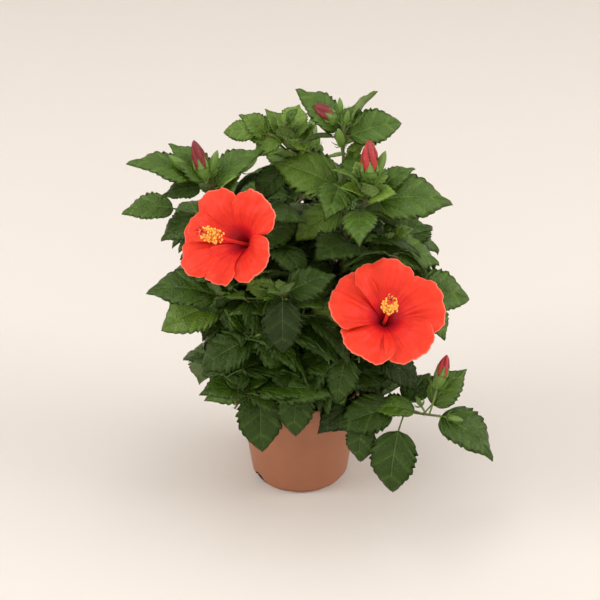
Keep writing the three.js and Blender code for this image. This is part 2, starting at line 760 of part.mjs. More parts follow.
// A solid from a three.js geometry whose vertices are still split.
function geometrySolid(geometry) {
  geometry.deleteAttribute('normal');
  geometry.deleteAttribute('uv');
  const merged = mergeVertices(geometry, 1e-4);
  return new wasm.Manifold(new wasm.Mesh({
    numProp: 3,
    vertProperties: merged.attributes.position.array,
    triVerts: Uint32Array.from(merged.index.array),
  }));
}

// The soil fills the pot a hair clear of its wall, with its top a little domed.
function soilSolid() {
  const bandFoot = POT_HEIGHT - POT_RIM_BAND;
  const inner = (z) => mix(POT_FOOT_RADIUS - POT_WALL, POT_WALL_TOP_RADIUS - POT_WALL + 0.4,
    (z - POT_FLOOR - 2) / (bandFoot - 2 - POT_FLOOR - 2)) - GAP - 0.4;
  const foot = POT_FLOOR + GAP;
  const profile = [
    [0, foot], [inner(foot + 2) - 2.5, foot], [inner(foot + 2.4), foot + 2.4],
    [inner(SOIL_TOP - 4), SOIL_TOP - 4], [inner(SOIL_TOP - 4) - 3, SOIL_TOP - 1],
    [16, SOIL_TOP], [0, SOIL_TOP],
  ];
  return turnedSolid(profile, SOIL_SEGMENTS);
}

// Every solid by name, each kept clear of those made before it.
function makeSolids() {
  const solids = { pot: potSolid(), soil: soilSolid(), stem: limbSolid(stem) };
  const limbs = [[stem, limbSolid(stem, GAP)]];
  for (const [name, limb] of Object.entries(boughs)) {
    const cut = limbs.reduce((solid, [, room]) => solid.subtract(room), limbSolid(limb));
    solids[name] = wholeBody(cut);
    limbs.push([limb, limbSolid(limb, GAP)]);
  }
  const taken = [solids.pot, solids.soil, ...limbs.map(([, room]) => room)];
  const clearOf = (solid, others) => others.filter((other) => touches(solid, other))
    .reduce((rest, other) => rest.subtract(other), solid);

  for (const [name, bloom] of Object.entries(BLOOMS)) {
    const back = add(bloom.throat, direction(bloom.heading, bloom.rise), -BLOOM_BACK);
    const twig = twigLimb(bloom.bough, bloom.at, back, 1.9, 1.6);
    solids[name] = wholeBody(clearOf(bloomSolid(bloom, twig), taken));
    taken.push(solids[name]);
  }

  const shoots = {};
  const twigs = {};
  const twigRooms = {};
  for (const [name, mass] of Object.entries(MASSES)) {
    shoots[name] = twigLimb(mass.bough, mass.at, mass.apex, BOUGHS[mass.bough].tipRadius, SHOOT_TIP_RADIUS);
    twigs[name] = wholeBody(clearOf(limbSolid(shoots[name]), [...taken, ...Object.values(twigRooms)]));
    twigRooms[name] = limbSolid(shoots[name], GAP);
  }
  const leaves = growLeaves(shoots);
  for (const name of Object.keys(MASSES)) {
    const others = Object.keys(MASSES).filter((other) => other !== name).map((other) => twigRooms[other]);
    const parts = [
      ...leaves.filter((leaf) => leaf.mass === name).map(leafSolid),
      ...MASSES[name].buds.map((bud) => budSolid(shoots[name], bud)),
    ];
    const clear = parts.filter((piece) => ![...taken, ...others].some((other) => touches(piece, other)));
    solids[name] = wholeBody(union([twigs[name], ...clear]));
    taken.push(solids[name]);
  }
  return solids;
}

function meshOf(name, solid) {
  const { numProp, vertProperties, triVerts } = solid.getMesh();
  const geometry = new THREE.BufferGeometry();
  const positions = new Float32Array((vertProperties.length / numProp) * 3);
  for (let i = 0; i * numProp < vertProperties.length; i += 1) {
    positions.set(vertProperties.slice(i * numProp, i * numProp + 3), i * 3);
  }
  geometry.setAttribute('position', new THREE.BufferAttribute(positions, 3));
  geometry.setIndex(new THREE.BufferAttribute(Uint32Array.from(triVerts), 1));
  geometry.computeVertexNormals();
  const kind = name === 'stem' ? 'bark' : name.split('_')[0].replace('bough', 'bark');
  const [color, roughness] = COLOURS[kind];
  const mesh = new THREE.Mesh(geometry, new THREE.MeshStandardMaterial({ color, roughness, metalness: 0 }));
  mesh.name = name;
  return mesh;
}

const group = new THREE.Group();
for (const [name, solid] of Object.entries(makeSolids())) {
  group.add(meshOf(name, solid));
}
export default group;
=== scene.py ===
import math

import bpy
import numpy as np
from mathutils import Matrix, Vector


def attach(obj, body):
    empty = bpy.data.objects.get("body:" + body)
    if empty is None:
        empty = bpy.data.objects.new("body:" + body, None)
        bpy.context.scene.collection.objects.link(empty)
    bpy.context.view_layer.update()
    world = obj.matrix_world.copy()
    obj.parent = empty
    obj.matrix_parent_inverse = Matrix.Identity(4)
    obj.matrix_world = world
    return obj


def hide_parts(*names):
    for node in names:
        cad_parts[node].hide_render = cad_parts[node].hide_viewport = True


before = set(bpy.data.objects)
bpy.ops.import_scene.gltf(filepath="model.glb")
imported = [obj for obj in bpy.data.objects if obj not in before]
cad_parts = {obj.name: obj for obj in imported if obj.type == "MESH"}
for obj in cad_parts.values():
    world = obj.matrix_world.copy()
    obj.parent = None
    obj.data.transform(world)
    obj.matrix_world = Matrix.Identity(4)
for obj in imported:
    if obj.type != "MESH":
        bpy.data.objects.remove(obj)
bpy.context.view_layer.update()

MM = 0.001
FULL_TURN = 2 * math.pi

# Pot and soil, close to the CAD source. The first arch and the one across from it are tall.
POT_HEIGHT = 110
POT_RIM_RADIUS = 65
POT_RIM_BAND = 15
POT_WALL_TOP_RADIUS = 62.5
POT_WALL_FOOT_RADIUS = 50
POT_FOOT_RADIUS = 47
POT_FOOT_HEIGHT = 3.5
POT_WALL = 1.7
POT_FLOOR = 2.2
POT_SIDES = 160
WALL_ROWS = (11, 16, 26, 50)
ARCH_COUNT = 8
ARCH_FIRST_HEADING = 213
ARCH = {"width": 11, "height": 3.2, "inner_radius": 45.8}
TALL_ARCH = {"width": 16, "height": 10.5, "inner_radius": 46.3}
TALL_ARCH_EVERY = 4
ARCH_DEPTH = 11
SOIL_TOP = 96
SOIL_SEED = 881
SOIL_RINGS = 60
SOIL_SIDES = 150
SOIL_EDGE = 9
CRUMB_COUNT = 520
DARK_CRUMBS = 0.6
GAP = 0.3

# Stem and boughs.
STEM_FOOT = (0, 2, SOIL_TOP + GAP)
STEM_HEAD = (1, 0, 136)
STEM_FOOT_RADIUS = 6.2
STEM_HEAD_RADIUS = 4.6
STEM_FLARE = 3.6
STEM_STEPS = 50
STEM_SIDES = 36
BOUGH_ROOT_RADIUS = 3.9
BOUGH_SPRING = 0.42
BOUGH_STEPS = 70
BOUGH_SIDES = 26
BARK_SEED = 733
# Each bough: its place on the stem, its tip and its radius there.
BOUGHS = {
    "bough_centre": (0.98, (43, -4, 284), 2.6),
    "bough_left": (0.84, (-34, -8, 232), 2.5),
    "bough_right": (0.78, (42, 4, 204), 2.5),
    "bough_back": (0.86, (-6, 44, 190), 2.5),
    "bough_front": (0.72, (-10, -34, 172), 2.3),
    "bough_low_left": (0.56, (-36, -36, 132), 2.2),
    "bough_low_right": (0.60, (50, -44, 128), 2.3),
}

# Leaves.
LEAF_WIDTH = 0.76
LEAF_TAPER = 0.95
LEAF_THICKNESS = 0.011
LEAF_ARCH = 0.09
LEAF_FOLD = 13
PETIOLE_RADIUS = 1.0
SHOOT_TIP_RADIUS = 1.1


def on_bough(bough, at, apex, leaves, size, first, shown=(), buds=(), ripe=None):
    """A mass of foliage: its bough, the place on it, the apex of its shoot, the number of leaves by
    the rule, the length of the longest and the heading of the first."""
    return {
        "bough": bough, "at": at, "apex": apex, "leaves": leaves, "size": size, "first": first,
        "shown": shown, "buds": buds, "ripe": ripe,
    }


# A shown row is place along the shoot, petiole, heading, rise, tilt, length and tone of a leaf that
# stands out. Tones run from -1 to 4 and paint both age and light: -1 is dark, painted shade for a leaf
# in the shade, and 4 is light, for young leaves and painted light on lit ones. A bud row is place,
# stalk, heading, rise and length. ripe gives the first bud furled petals, 1 for red and 2 for deep
# red, then its radius and the height of its green cup as shares of its length.
MASSES = {
    "foliage_top": on_bough("bough_centre", 1, (39, -10, 388), 5, 50, 80, [
        (0.89, 9, 152, 40, 10, 54, 3), (0.91, 12, 35, 46, -50, 40, 3), (0.87, 8, 7, 13, 45, 49, 1),
        (0.36, 8, 170, 19, 35, 68, 3), (0.15, 4, -163, -25, 30, 52, 3), (0.87, 10, -175, -9, -30, 31, 0),
        (0.59, 11, 35, 46, 0, 26, 4),
    ], [
        (1, 6, 168, 34, 26), (0.97, 14, 120, 78, 15), (0.93, 12, -60, 70, 15), (0.7, 16, -110, 66, 22),
    ], (2, 0.25, 0.3)),
    "foliage_top_left": on_bough("bough_centre", 0.5, (-16, 20, 372), 4, 50, 30, [
        (0.96, 6, 70, 30, 20, 36, 4), (0.92, 14, 144, 47, 10, 29, 3), (0.95, 7, -162, -29, 20, 32, 3),
        (0.97, 5, -31, -30, 20, 26, 4), (0.83, 38, 167, 36, 35, 35, 3), (0.91, 38, -178, 1, 35, 30, 3),
        (0.84, 30, 167, 26, 35, 37, 3), (0.80, 19, -152, -42, 20, 42, 0),
    ]),
    "foliage_upper_left": on_bough("bough_left", 1, (-87, -20, 334), 5, 56, 60, [
        (0.94, 23, 178, 14, 10, 62, 1), (0.98, 5, 152, 41, 10, 50, 2), (0.95, 6, 21, 33, 10, 55, 2),
        (0.90, 17, -173, -11, 20, 38, 0),
    ], [
        (1, 4, 170, 76, 40), (0.97, 22, 178, 40, 26), (1, 12, 20, 70, 22), (0.93, 30, 10, 35, 20),
    ], (2, 0.165, 0.36)),
    "foliage_upper_right": on_bough("bough_centre", 0.78, (64, -42, 338), 7, 56, 10, [
        (0.75, 17, 1, 1, 30, 71, 1), (0.85, 18, 109, 43, 10, 36, 2), (0.81, 26, 23, 24, 20, 34, 2),
        (0.60, 6, -30, -25, 0, 28, 0),
    ], [(1, 8, 100, 80, 38), (0.96, 18, 20, 68, 24)], (1, 0.205, 0.28)),
    "foliage_left": on_bough("bough_left", 0.45, (-76, -60, 236), 8, 54, 40, [
        (0.99, 4, 179, 6, 22, 66, 0), (0.62, 26, -163, -18, 35, 62, 3), (0.80, 16, 12, 22, -40, 50, 4),
        (0.44, 11, -89, -60, 0, 41, 1),
    ], [(1, 6, 150, -30, 16)]),
    "foliage_front_left": on_bough("bough_front", 0.6, (-50, -86, 206), 8, 54, -100, [
        (0.78, 10, -168, -28, 35, 55, 0), (0.70, 13, -36, -41, 0, 34, 1),
    ]),
    "foliage_low_left": on_bough("bough_low_left", 1, (-52, -82, 142), 6, 54, -20, [
        (0.25, 6, -162, -14, 42, 50, 2), (0.15, 19, -86, -59, 0, 60, -1),
    ]),
    "foliage_low_front": on_bough("bough_front", 0.4, (4, -76, 146), 6, 50, 0, [
        (0.80, 14, -100, -60, 0, 50, 0),
    ]),
    "foliage_front": on_bough("bough_front", 1, (-16, -88, 254), 8, 54, -20, [
        (0.96, 8, -89, -60, 0, 49, -1), (0.98, 6, 16, 14, 35, 48, 0),
    ]),
    "foliage_front_right": on_bough("bough_low_right", 0.45, (58, -80, 206), 7, 56, -80, [
        (0.74, 19, -111, -56, 0, 44, 0), (0.58, 40, -25, -37, 20, 47, -1), (0.40, 10, -133, -17, 20, 40, 1),
        (0.97, 20, 145, 16, 20, 46, 4),
    ]),
    "foliage_low_right": on_bough("bough_low_right", 1, (130, -98, 128), 6, 52, 30, [
        (0.39, 30, -150, -26, 20, 46, -1), (0.73, 19, -166, -13, 30, 59, 0), (0.35, 38, -110, -71, 0, 40, -1),
        (0.70, 35, -106, -65, 0, 60, 0), (0.86, 8, 179, 3, 10, 41, 2), (0.88, 12, 28, 40, 20, 48, 2),
        (0.99, 6, -27, -28, 12, 65, 0),
    ], [(0.93, 26, 54, 62, 34), (0.99, 14, -40, 14, 18), (0.9, 9, 120, 30, 12)], (1, 0.18, 0.46)),
    "foliage_right": on_bough("bough_right", 1, (84, -6, 268), 9, 56, 30, [
        (0.82, 5, 8, -19, 20, 65, 2), (0.86, 12, -158, -40, 40, 36, 3), (0.36, 24, 3, 11, 0, 38, 1),
    ]),
    "foliage_side_right": on_bough("bough_right", 0.5, (104, 2, 206), 10, 60, 60, [
        (0.86, 17, 3, -8, 30, 64, 1), (0.87, 38, -37, -48, 10, 40, 2),
    ]),
    "foliage_side_left": on_bough("bough_left", 0.75, (-88, 0, 286), 9, 60, 130, [
        (1, 36, -178, -4, 15, 50, 2), (1, 10, -168, -24, 35, 42, 0),
    ]),
    "foliage_back": on_bough("bough_back", 1, (10, 92, 312), 11, 64, 90, buds=[
        (1, 8, 80, 70, 34), (0.96, 14, -20, 70, 20),
    ]),
    "foliage_back_right": on_bough("bough_right", 0.78, (84, 88, 262), 13, 64, 20, buds=[
        (1, 10, 60, 66, 22),
    ]),
    "foliage_back_left": on_bough("bough_back", 0.72, (-72, 88, 256), 13, 64, 150, buds=[
        (1, 8, 130, 70, 24),
    ]),
    "foliage_back_low": on_bough("bough_back", 0.3, (8, 108, 158), 14, 62, 90, [
        (0.5, 16, 100, -48, 0, 56, 1), (0.4, 24, 30, -38, 0, 54, 1), (0.36, 24, 160, -38, 0, 54, 1),
    ]),
}
GREEN_BUD_RADIUS = 0.2
BUD_CLEARANCE = 8
# A mass is low, high or at the back by its apex.
LOW_APEX = 215
HIGH_APEX = 320
BACK_APEX = 70

# The spiral rule of the leaves. Where one has no room it tries these turns and lifts, in degrees.
SEED = 41
SPIRAL_TURN = 144
BARE_SHARE = 0.22
LEAF_CLEARANCE = 7
LIMB_CLEARANCE = 5
LIMB_SAMPLE_COUNT = 20
POT_CLEARANCE = 8
NEAR_SHARE = 0.75
LEAF_RISES = (-30, 34)
LEAF_SHORTENING = 0.45
PETIOLE_SHARE = 0.26
CROWN_CENTRE = np.array((6, 0, 236))
CROWN_REACH = np.array((168, 150, 184))
OUTWARD_PULL = 0.55
RETRIES = [
    (0, 0), (25, -14), (-25, -14), (45, 14), (-45, 14), (0, -32), (0, 30), (70, -20), (-70, -20),
    (100, 10), (-100, 10),
]

# The young leaves at each shoot's tip: how many, from where on, and the length of the first. Here
# and below a pair is a range.
TUFT_SEED = 29
TUFT = (5, 0.93, 26)
TOP_TUFT = (13, 0.82, 36)
TUFT_LAST_LENGTH = 16
TUFT_RISES = (15, 65)
TUFT_PETIOLES = (4, 9)
TUFT_TONES = (2.6, 4.2)

# The finer twigs of each shoot, which the CAD solids leave out.
FINE_SEED = 97
FINE_TWIGS_LOW = 8
FINE_TWIGS_FRONT = 5
FINE_TWIGS_BACK = 6
FINE_TWIGS_TOP = 0
FINE_TWIG_RADII = (1.3, 0.8)
FINE_TWIG_SPANS = (24, 44)
FINE_TWIG_RISES = (-5, 45)
FINE_LEAVES = 3
FINE_LEAF_LENGTHS = (64, 50)
FINE_LEAF_RISES = (-60, 5)
FINE_LEAF_TURN = 150
FINE_PETIOLE_SHARE = 0.28
FINE_CLEARANCE = 3.4
FINE_LIMB_CLEARANCE = 2.5
# How far out in the crown their leaves may reach: at the back, in front, and low in front.
FINE_REACH_BACK = 0.97
FINE_REACH_FRONT = 0.76
FINE_REACH_LOW = 0.9
BACK_FROM = 20
LOW_BELOW = 160

# Blooms, close to the CAD source.
BLOOMS = {
    "bloom_left": {
        "throat": (-49, -70, 297), "heading": 232, "rise": 33, "bough": "bough_left", "at": 0.9,
        "turns": (69, 156, 206, 257, 336), "reach": (48, 54, 58, 44, 45), "column": (3.3, -3.0),
    },
    "bloom_right": {
        "throat": (78, -90, 226), "heading": -82, "rise": 48, "bough": "bough_right", "at": 0.62,
        "turns": (12, 88, 153, 227, 301), "reach": (54, 54, 55, 50, 49), "column": (3.9, -0.5),
    },
}
BLOOM_SEED = 311
BLOOM_DEPTH = 25
BLOOM_ROOM = 60
ROOM_SLOPE = 0.6
ROOM_BEHIND = 20
ROOM_IN_FRONT = 10
BLOOM_BACK = 13
BLOOM_STALK_RADII = (1.9, 1.5)
THROAT_RADIUS = 3
PETAL_COUNT = 5
PETAL_HALF_ANGLE = 45
PETAL_THICKNESS = 0.7
PETAL_ROWS = 44
PETAL_COLUMNS = 54
COLUMN_LENGTH = 62
COLUMN_RADIUS = 1.5
COLUMN_ROOM = 16
ANTHER_LENGTH = 19
ANTHER_COUNT = 92
ANTHER_TURN = 137.5
FILAMENT_RADIUS = 0.22
FILAMENT_LENGTHS = (4.2, 7.8)
STYLE_RADIUS = 0.42
BLOOM_BRACTS = 7
THROAT_DEPTH = 7
THROAT_SHARE = 0.1
CALYX_DEPTH = 16


# Vectors and curves.

def vec(*values):
    return np.array(values, float)


def unit(a):
    return a / np.linalg.norm(a)


def mix(a, b, t):
    return a + (b - a) * t


def smooth(low, high, x):
    """0 below low, 1 above high, and eased between them."""
    t = np.clip((x - low) / (high - low), 0, 1)
    return t * t * (3 - 2 * t)


def direction(heading, rise):
    """The unit vector of a compass heading, 0 to the right and 90 to the back, and a rise."""
    h = math.radians(heading)
    r = math.radians(rise)
    return vec(math.cos(r) * math.cos(h), math.cos(r) * math.sin(h), math.sin(r))


def cross_axes(axis):
    """Two unit axes square to a given one."""
    guide = vec(1, 0, 0) if abs(axis[0]) < 0.8 else vec(0, 1, 0)
    across = unit(np.cross(guide, axis))
    return across, np.cross(axis, across)


def outward(axes, turn):
    """The way out at a turn between two cross axes."""
    return axes[0] * math.cos(turn) + axes[1] * math.sin(turn)


def ring_angles(sides):
    return np.arange(sides) * FULL_TURN / sides


def curve_point(curve, t):
    return (1 - t) ** 2 * curve[0] + 2 * (1 - t) * t * curve[1] + t ** 2 * curve[2]


def curve_tangent(curve, t):
    return unit((1 - t) * (curve[1] - curve[0]) + t * (curve[2] - curve[1]))


def curve_points(curve, count):
    return np.array([curve_point(curve, t) for t in np.linspace(0, 1, count)])


class Draws:
    """A repeatable stream of even draws, the same as the CAD source's."""

    def __init__(self, seed):
        self.state = seed

    def next(self):
        self.state = (self.state * 1664525 + 1013904223) % 4294967296
        return self.state / 4294967296

    def spread(self, amount):
        return (self.next() * 2 - 1) * amount

    def between(self, low, high):
        return mix(low, high, self.next())


# The plant's skeleton.

def stem_limb():
    foot = vec(*STEM_FOOT)
    head = vec(*STEM_HEAD)
    control = vec(foot[0], foot[1], mix(foot[2], head[2], 0.5))
    return {"curve": (foot, control, head), "root": STEM_FOOT_RADIUS, "tip": STEM_HEAD_RADIUS}


def bough_limb(at, tip, radius):
    start = curve_point(STEM["curve"], at)
    tip = vec(*tip)
    level = unit(vec(tip[0] - start[0], tip[1] - start[1], 0))
    spring = unit(vec(level[0], level[1], 1))
    control = start + spring * np.linalg.norm(tip - start) * BOUGH_SPRING
    return {"curve": (start, control, tip), "root": BOUGH_ROOT_RADIUS, "tip": radius}


def twig_limb(parent, at, end, root, tip):
    """A shoot leaves its bough smoothly at the tip, or at an angle along its side."""
    start = curve_point(parent["curve"], at)
    along = curve_tangent(parent["curve"], at)
    end = np.asarray(end, float)
    if at < 1:
        along = unit(along + unit(end - start) * 1.2)
    control = start + along * np.linalg.norm(end - start) * 0.45
    return {"curve": (start, control, end), "root": root, "tip": tip}


STEM = stem_limb()
LIMBS = {name: bough_limb(*bough) for name, bough in BOUGHS.items()}


def grow_shoots():
    shoots = {}
    for name, mass in MASSES.items():
        parent = LIMBS[mass["bough"]]
        shoots[name] = twig_limb(parent, mass["at"], mass["apex"], parent["tip"], SHOOT_TIP_RADIUS)
    return shoots


# Leaves by the CAD source's rule.

def leaf_frame(limb, at, petiole, heading, rise, tilt, length):
    """A leaf's frame: its root on the shoot, the blade's base, chord, normal and side."""
    root = curve_point(limb["curve"], at)
    base = root + direction(heading, 25 + 0.4 * rise) * petiole
    chord = direction(heading, rise)
    level = unit(vec(0, 0, 1) - chord * chord[2])
    side = np.cross(chord, level)
    turn = math.radians(tilt) * (-1 if side[1] > 0 else 1)
    normal = level * math.cos(turn) + side * math.sin(turn)
    return {
        "root": root, "base": base, "chord": chord, "normal": normal, "side": np.cross(chord, normal),
        "length": length, "leaving": curve_tangent(limb["curve"], at),
    }


def blade_half_width(share, taper=LEAF_TAPER):
    """Half the blade's width at a share of its length: rounded at the base, drawn out at the tip."""
    widest = 0.5 / (0.5 + taper)
    peak = widest ** 0.5 * (1 - widest) ** taper
    return 0.5 * LEAF_WIDTH * np.sqrt(share) * (1 - share) ** taper / peak


def blade_point(leaf, share, across):
    arch = LEAF_ARCH * 4 * share * (1 - share)
    fold = math.radians(LEAF_FOLD)
    length = leaf["length"]
    rib = leaf["base"] + leaf["chord"] * share * length + leaf["normal"] * arch * length
    level = rib + leaf["side"] * across * length * math.cos(fold)
    return level + leaf["normal"] * abs(across) * length * math.sin(fold)


def blade_samples(leaf):
    samples = [blade_point(leaf, share, 0) for share in (0.04, 0.3, 0.55, 0.8, 1)]
    for side in (1, -1):
        for share in (0.15, 0.35, 0.6):
            samples.append(blade_point(leaf, share, side * blade_half_width(share) * 0.85))
    samples.append(mix(leaf["root"], leaf["base"], 0.7))
    return np.array(samples)


def nearest(samples, others):
    return np.sqrt(((samples[:, None] - others[None]) ** 2).sum(2)).min()


def in_bloom(points):
    """Which points lie in the space of a bloom: its cup of petals and the room about its column."""
    inside = np.zeros(len(points), bool)
    for bloom in BLOOMS.values():
        axis = direction(bloom["heading"], bloom["rise"])
        offset = points - vec(*bloom["throat"])
        height = offset @ axis
        radius = np.linalg.norm(offset - np.outer(height, axis), axis=1)
        back = np.minimum(radius * ROOM_SLOPE - ROOM_BEHIND, 12)
        front = np.where(radius < COLUMN_ROOM, COLUMN_LENGTH, BLOOM_DEPTH + ROOM_IN_FRONT)
        inside |= (radius < BLOOM_ROOM) & (height > back) & (height < front)
    return inside


def crown_share(points):
    """How far out points lie in the crown, 1 at its reach."""
    return np.linalg.norm((points - CROWN_CENTRE) / CROWN_REACH, axis=-1)


def has_room(leaf, placed, limb_samples, leaf_clearance, limb_clearance):
    """Whether a leaf is inside the crown, off the pot, and clear of leaves, limbs and blooms."""
    samples = blade_samples(leaf)
    low = samples[:, 2] < POT_HEIGHT + POT_CLEARANCE
    over_pot = low & (np.hypot(samples[:, 0], samples[:, 1]) < POT_RIM_RADIUS + POT_CLEARANCE)
    if (crown_share(samples) > 1).any() or over_pot.any() or in_bloom(samples).any():
        return False
    if nearest(samples, limb_samples) < limb_clearance:
        return False
    for other in placed:
        near = (leaf["length"] + other["length"]) * NEAR_SHARE
        apart = np.linalg.norm(samples[2] - other["samples"][2])
        if apart < near and nearest(samples, other["samples"]) < leaf_clearance:
            return False
    return True


def all_limb_samples(shoots):
    shares = [(k + 1) / LIMB_SAMPLE_COUNT for k in range(LIMB_SAMPLE_COUNT)]
    limbs = [*LIMBS.values(), *shoots.values()]
    return np.array([curve_point(limb["curve"], t) for limb in limbs for t in shares])


def put(placed, mass, leaf, tone):
    placed.append({**leaf, "mass": mass, "tone": tone, "samples": blade_samples(leaf)})


def grow_leaves(shoots):
    """The leaves of the CAD solids: first those that stand out, then the rest by the spiral rule."""
    placed = []
    for name, mass in MASSES.items():
        for *row, tone in mass["shown"]:
            put(placed, name, leaf_frame(shoots[name], *row), tone)
    limb_samples = all_limb_samples(shoots)
    draws = Draws(SEED)
    for name, mass in MASSES.items():
        for k in range(mass["leaves"]):
            share = (k + 0.5) / mass["leaves"]
            at = mix(BARE_SHARE, 1, share)
            root = curve_point(shoots[name]["curve"], at)
            around = math.radians(mass["first"] + SPIRAL_TURN * k + draws.spread(14))
            away = math.atan2(root[1] - CROWN_CENTRE[1], root[0] - CROWN_CENTRE[0])
            x = math.cos(around) + OUTWARD_PULL * math.cos(away)
            y = math.sin(around) + OUTWARD_PULL * math.sin(away)
            heading = math.degrees(math.atan2(y, x))
            rise = mix(*LEAF_RISES, share) + draws.spread(12)
            length = mass["size"] * (1 - LEAF_SHORTENING * share * share + draws.spread(0.08))
            stalk = length * (PETIOLE_SHARE + draws.spread(0.06))
            tilt = draws.spread(16)
            for turn, lift in RETRIES:
                leaf = leaf_frame(shoots[name], at, stalk, heading + turn, rise + lift, tilt, length)
                if has_room(leaf, placed, limb_samples, LEAF_CLEARANCE, LIMB_CLEARANCE):
                    # Tone by age along the shoot, plus painted light and shade by height.
                    put(placed, name, leaf, max(0.3, 2.6 * share + painted_light_by_height(root)))
                    break
    return placed


def painted_light_by_height(place):
    """Painted light and shade: leaves high in the crown are painted lighter, low ones darker."""
    return 0.9 * (place[2] - CROWN_CENTRE[2]) / CROWN_REACH[2]


def bud_points(shoot, mass):
    """Points along the bodies of a shoot's buds."""
    points = [vec(0, 0, 0)]
    for at, stalk, heading, rise, length in mass["buds"]:
        root = curve_point(shoot["curve"], at)
        points += [root + direction(heading, rise) * (stalk + length * share) for share in (0.2, 0.5, 0.8)]
    return np.array(points)


def tuft_painted_shade(mass):
    """How much darker a shoot's young leaves are painted than at the top: painted shade, most of all low
    inside the crown.
    """
    if mass["apex"][2] > HIGH_APEX:
        return 0
    return 2.6 if mass["apex"][2] < LOW_APEX and crown_share(np.array(mass["apex"])) < 1 else 1.2


def grow_tufts(shoots, placed):
    """The small young leaves at the tip of every shoot, more of them on the long top shoots."""
    draws = Draws(TUFT_SEED)
    for name, mass in MASSES.items():
        buds = bud_points(shoots[name], mass)
        count, foot, longest = TOP_TUFT if mass["apex"][2] > HIGH_APEX else TUFT
        for k in range(count):
            share = (k + 1) / count
            heading = mass["first"] + 40 + SPIRAL_TURN * k + draws.spread(15)
            rise = draws.between(*TUFT_RISES)
            length = mix(longest, TUFT_LAST_LENGTH, share) + draws.spread(3)
            stalk = draws.between(*TUFT_PETIOLES)
            tilt = draws.spread(30)
            leaf = leaf_frame(shoots[name], mix(foot, 1, share), stalk, heading, rise, tilt, length)
            samples = blade_samples(leaf)
            clear = nearest(samples[:-1], buds) > BUD_CLEARANCE and not in_bloom(samples).any()
            if clear and (crown_share(samples) < 1).all():
                # Young leaves are light, less their shoot's painted shade.
                put(placed, name, leaf, draws.between(*TUFT_TONES) - tuft_painted_shade(mass))


def fine_twig_count(mass):
    """The open top has few side twigs, the back has most."""
    if mass["apex"][1] > BACK_APEX:
        return FINE_TWIGS_BACK
    if mass["apex"][2] < LOW_APEX:
        return FINE_TWIGS_LOW
    return FINE_TWIGS_TOP if mass["apex"][2] > HIGH_APEX else FINE_TWIGS_FRONT


def fine_reach(place):
    """How far out in the crown a fine leaf may reach."""
    if place[1] > BACK_FROM:
        return FINE_REACH_BACK
    return FINE_REACH_LOW if place[2] < LOW_BELOW else FINE_REACH_FRONT


def grow_fine_twigs(shoots, placed):
    """Side twigs of every shoot, with smaller leaves wherever the crown still has room. Those in
    front stay inside the crown, behind the leaves that stand out."""
    draws = Draws(FINE_SEED)
    limb_samples = all_limb_samples(shoots)
    twigs = []
    for name, mass in MASSES.items():
        count = fine_twig_count(mass)
        for k in range(count):
            at = mix(0.2, 0.9, (k + draws.next()) / count)
            heading = mass["first"] + 75 + SPIRAL_TURN * k + draws.spread(20)
            span = draws.between(*FINE_TWIG_SPANS)
            start = curve_point(shoots[name]["curve"], at)
            end = start + direction(heading, draws.between(*FINE_TWIG_RISES)) * span
            twig = twig_limb(shoots[name], at, end, *FINE_TWIG_RADII)
            leafy = False
            for j in range(FINE_LEAVES):
                share = (j + 0.6) / FINE_LEAVES
                length = mix(*FINE_LEAF_LENGTHS, share) + draws.spread(5)
                rise = draws.between(*FINE_LEAF_RISES)
                tilt = draws.spread(30)
                stalk = length * FINE_PETIOLE_SHARE
                for turn, lift in RETRIES:
                    around = heading + FINE_LEAF_TURN * j + turn
                    leaf = leaf_frame(twig, mix(0.35, 1, share), stalk, around, rise + lift, tilt, length)
                    samples = blade_samples(leaf)
                    if crown_share(samples).max() > fine_reach(samples[2]):
                        continue
                    if has_room(leaf, placed, limb_samples, FINE_CLEARANCE, FINE_LIMB_CLEARANCE):
                        # Painted light and shade by the twig's height, as for the other leaves.
                        put(placed, name, leaf, max(0.5, 0.9 * share + painted_light_by_height(start) + 0.4))
                        leafy = True
                        break
            if leafy:
                twigs.append((name, twig))
    return twigs


# Meshes are gathered from arrays of points, triangles and material places.

BALL_PROFILE = [(0.02, -1.0), (0.72, -0.66), (1.0, 0.0), (0.72, 0.66), (0.02, 1.0)]
BALL_SIDES = 7


class Mesh:
    def __init__(self):
        self.points = []
        self.faces = []
        self.looks = []
        self.count = 0

    def add(self, points, faces, look=0):
        """Adds points and triangles, with one material place for all or one for each triangle."""
        faces = np.asarray(faces, np.int64)
        self.points.append(np.asarray(points, float))
        self.faces.append(faces + self.count)
        self.looks.append(np.broadcast_to(np.asarray(look, np.int64), (len(faces),)))
        self.count += len(points)

    def make(self, name, materials, slot, *nodes):
        """The finished piece, riding on the plant's one body and standing for the named nodes."""
        points = np.concatenate(self.points) * MM
        faces = np.concatenate(self.faces)
        data = bpy.data.meshes.new(name)
        data.vertices.add(len(points))
        data.vertices.foreach_set("co", points.astype(np.float32).ravel())
        data.loops.add(faces.size)
        data.loops.foreach_set("vertex_index", faces.astype(np.int32).ravel())
        data.polygons.add(len(faces))
        data.polygons.foreach_set("loop_start", np.arange(0, faces.size, 3, dtype=np.int32))
        data.polygons.foreach_set("material_index", np.concatenate(self.looks).astype(np.int32))
        data.polygons.foreach_set("use_smooth", np.ones(len(faces), bool))
        for material in materials:
            data.materials.append(material)
        data.update(calc_edges=True)
        data.validate()
        piece = new_object(name, data)
        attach(piece, "root")
        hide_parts(*nodes)
        return piece


def new_object(name, data):
    """An object of the given data, linked to the scene."""
    made = bpy.data.objects.new(name, data)
    bpy.context.scene.collection.objects.link(made)
    return made


def quads(a, b, c, d):
    """Two triangles for each quad of four index arrays."""
    return np.concatenate([np.stack([a, b, c], 1), np.stack([a, c, d], 1)])


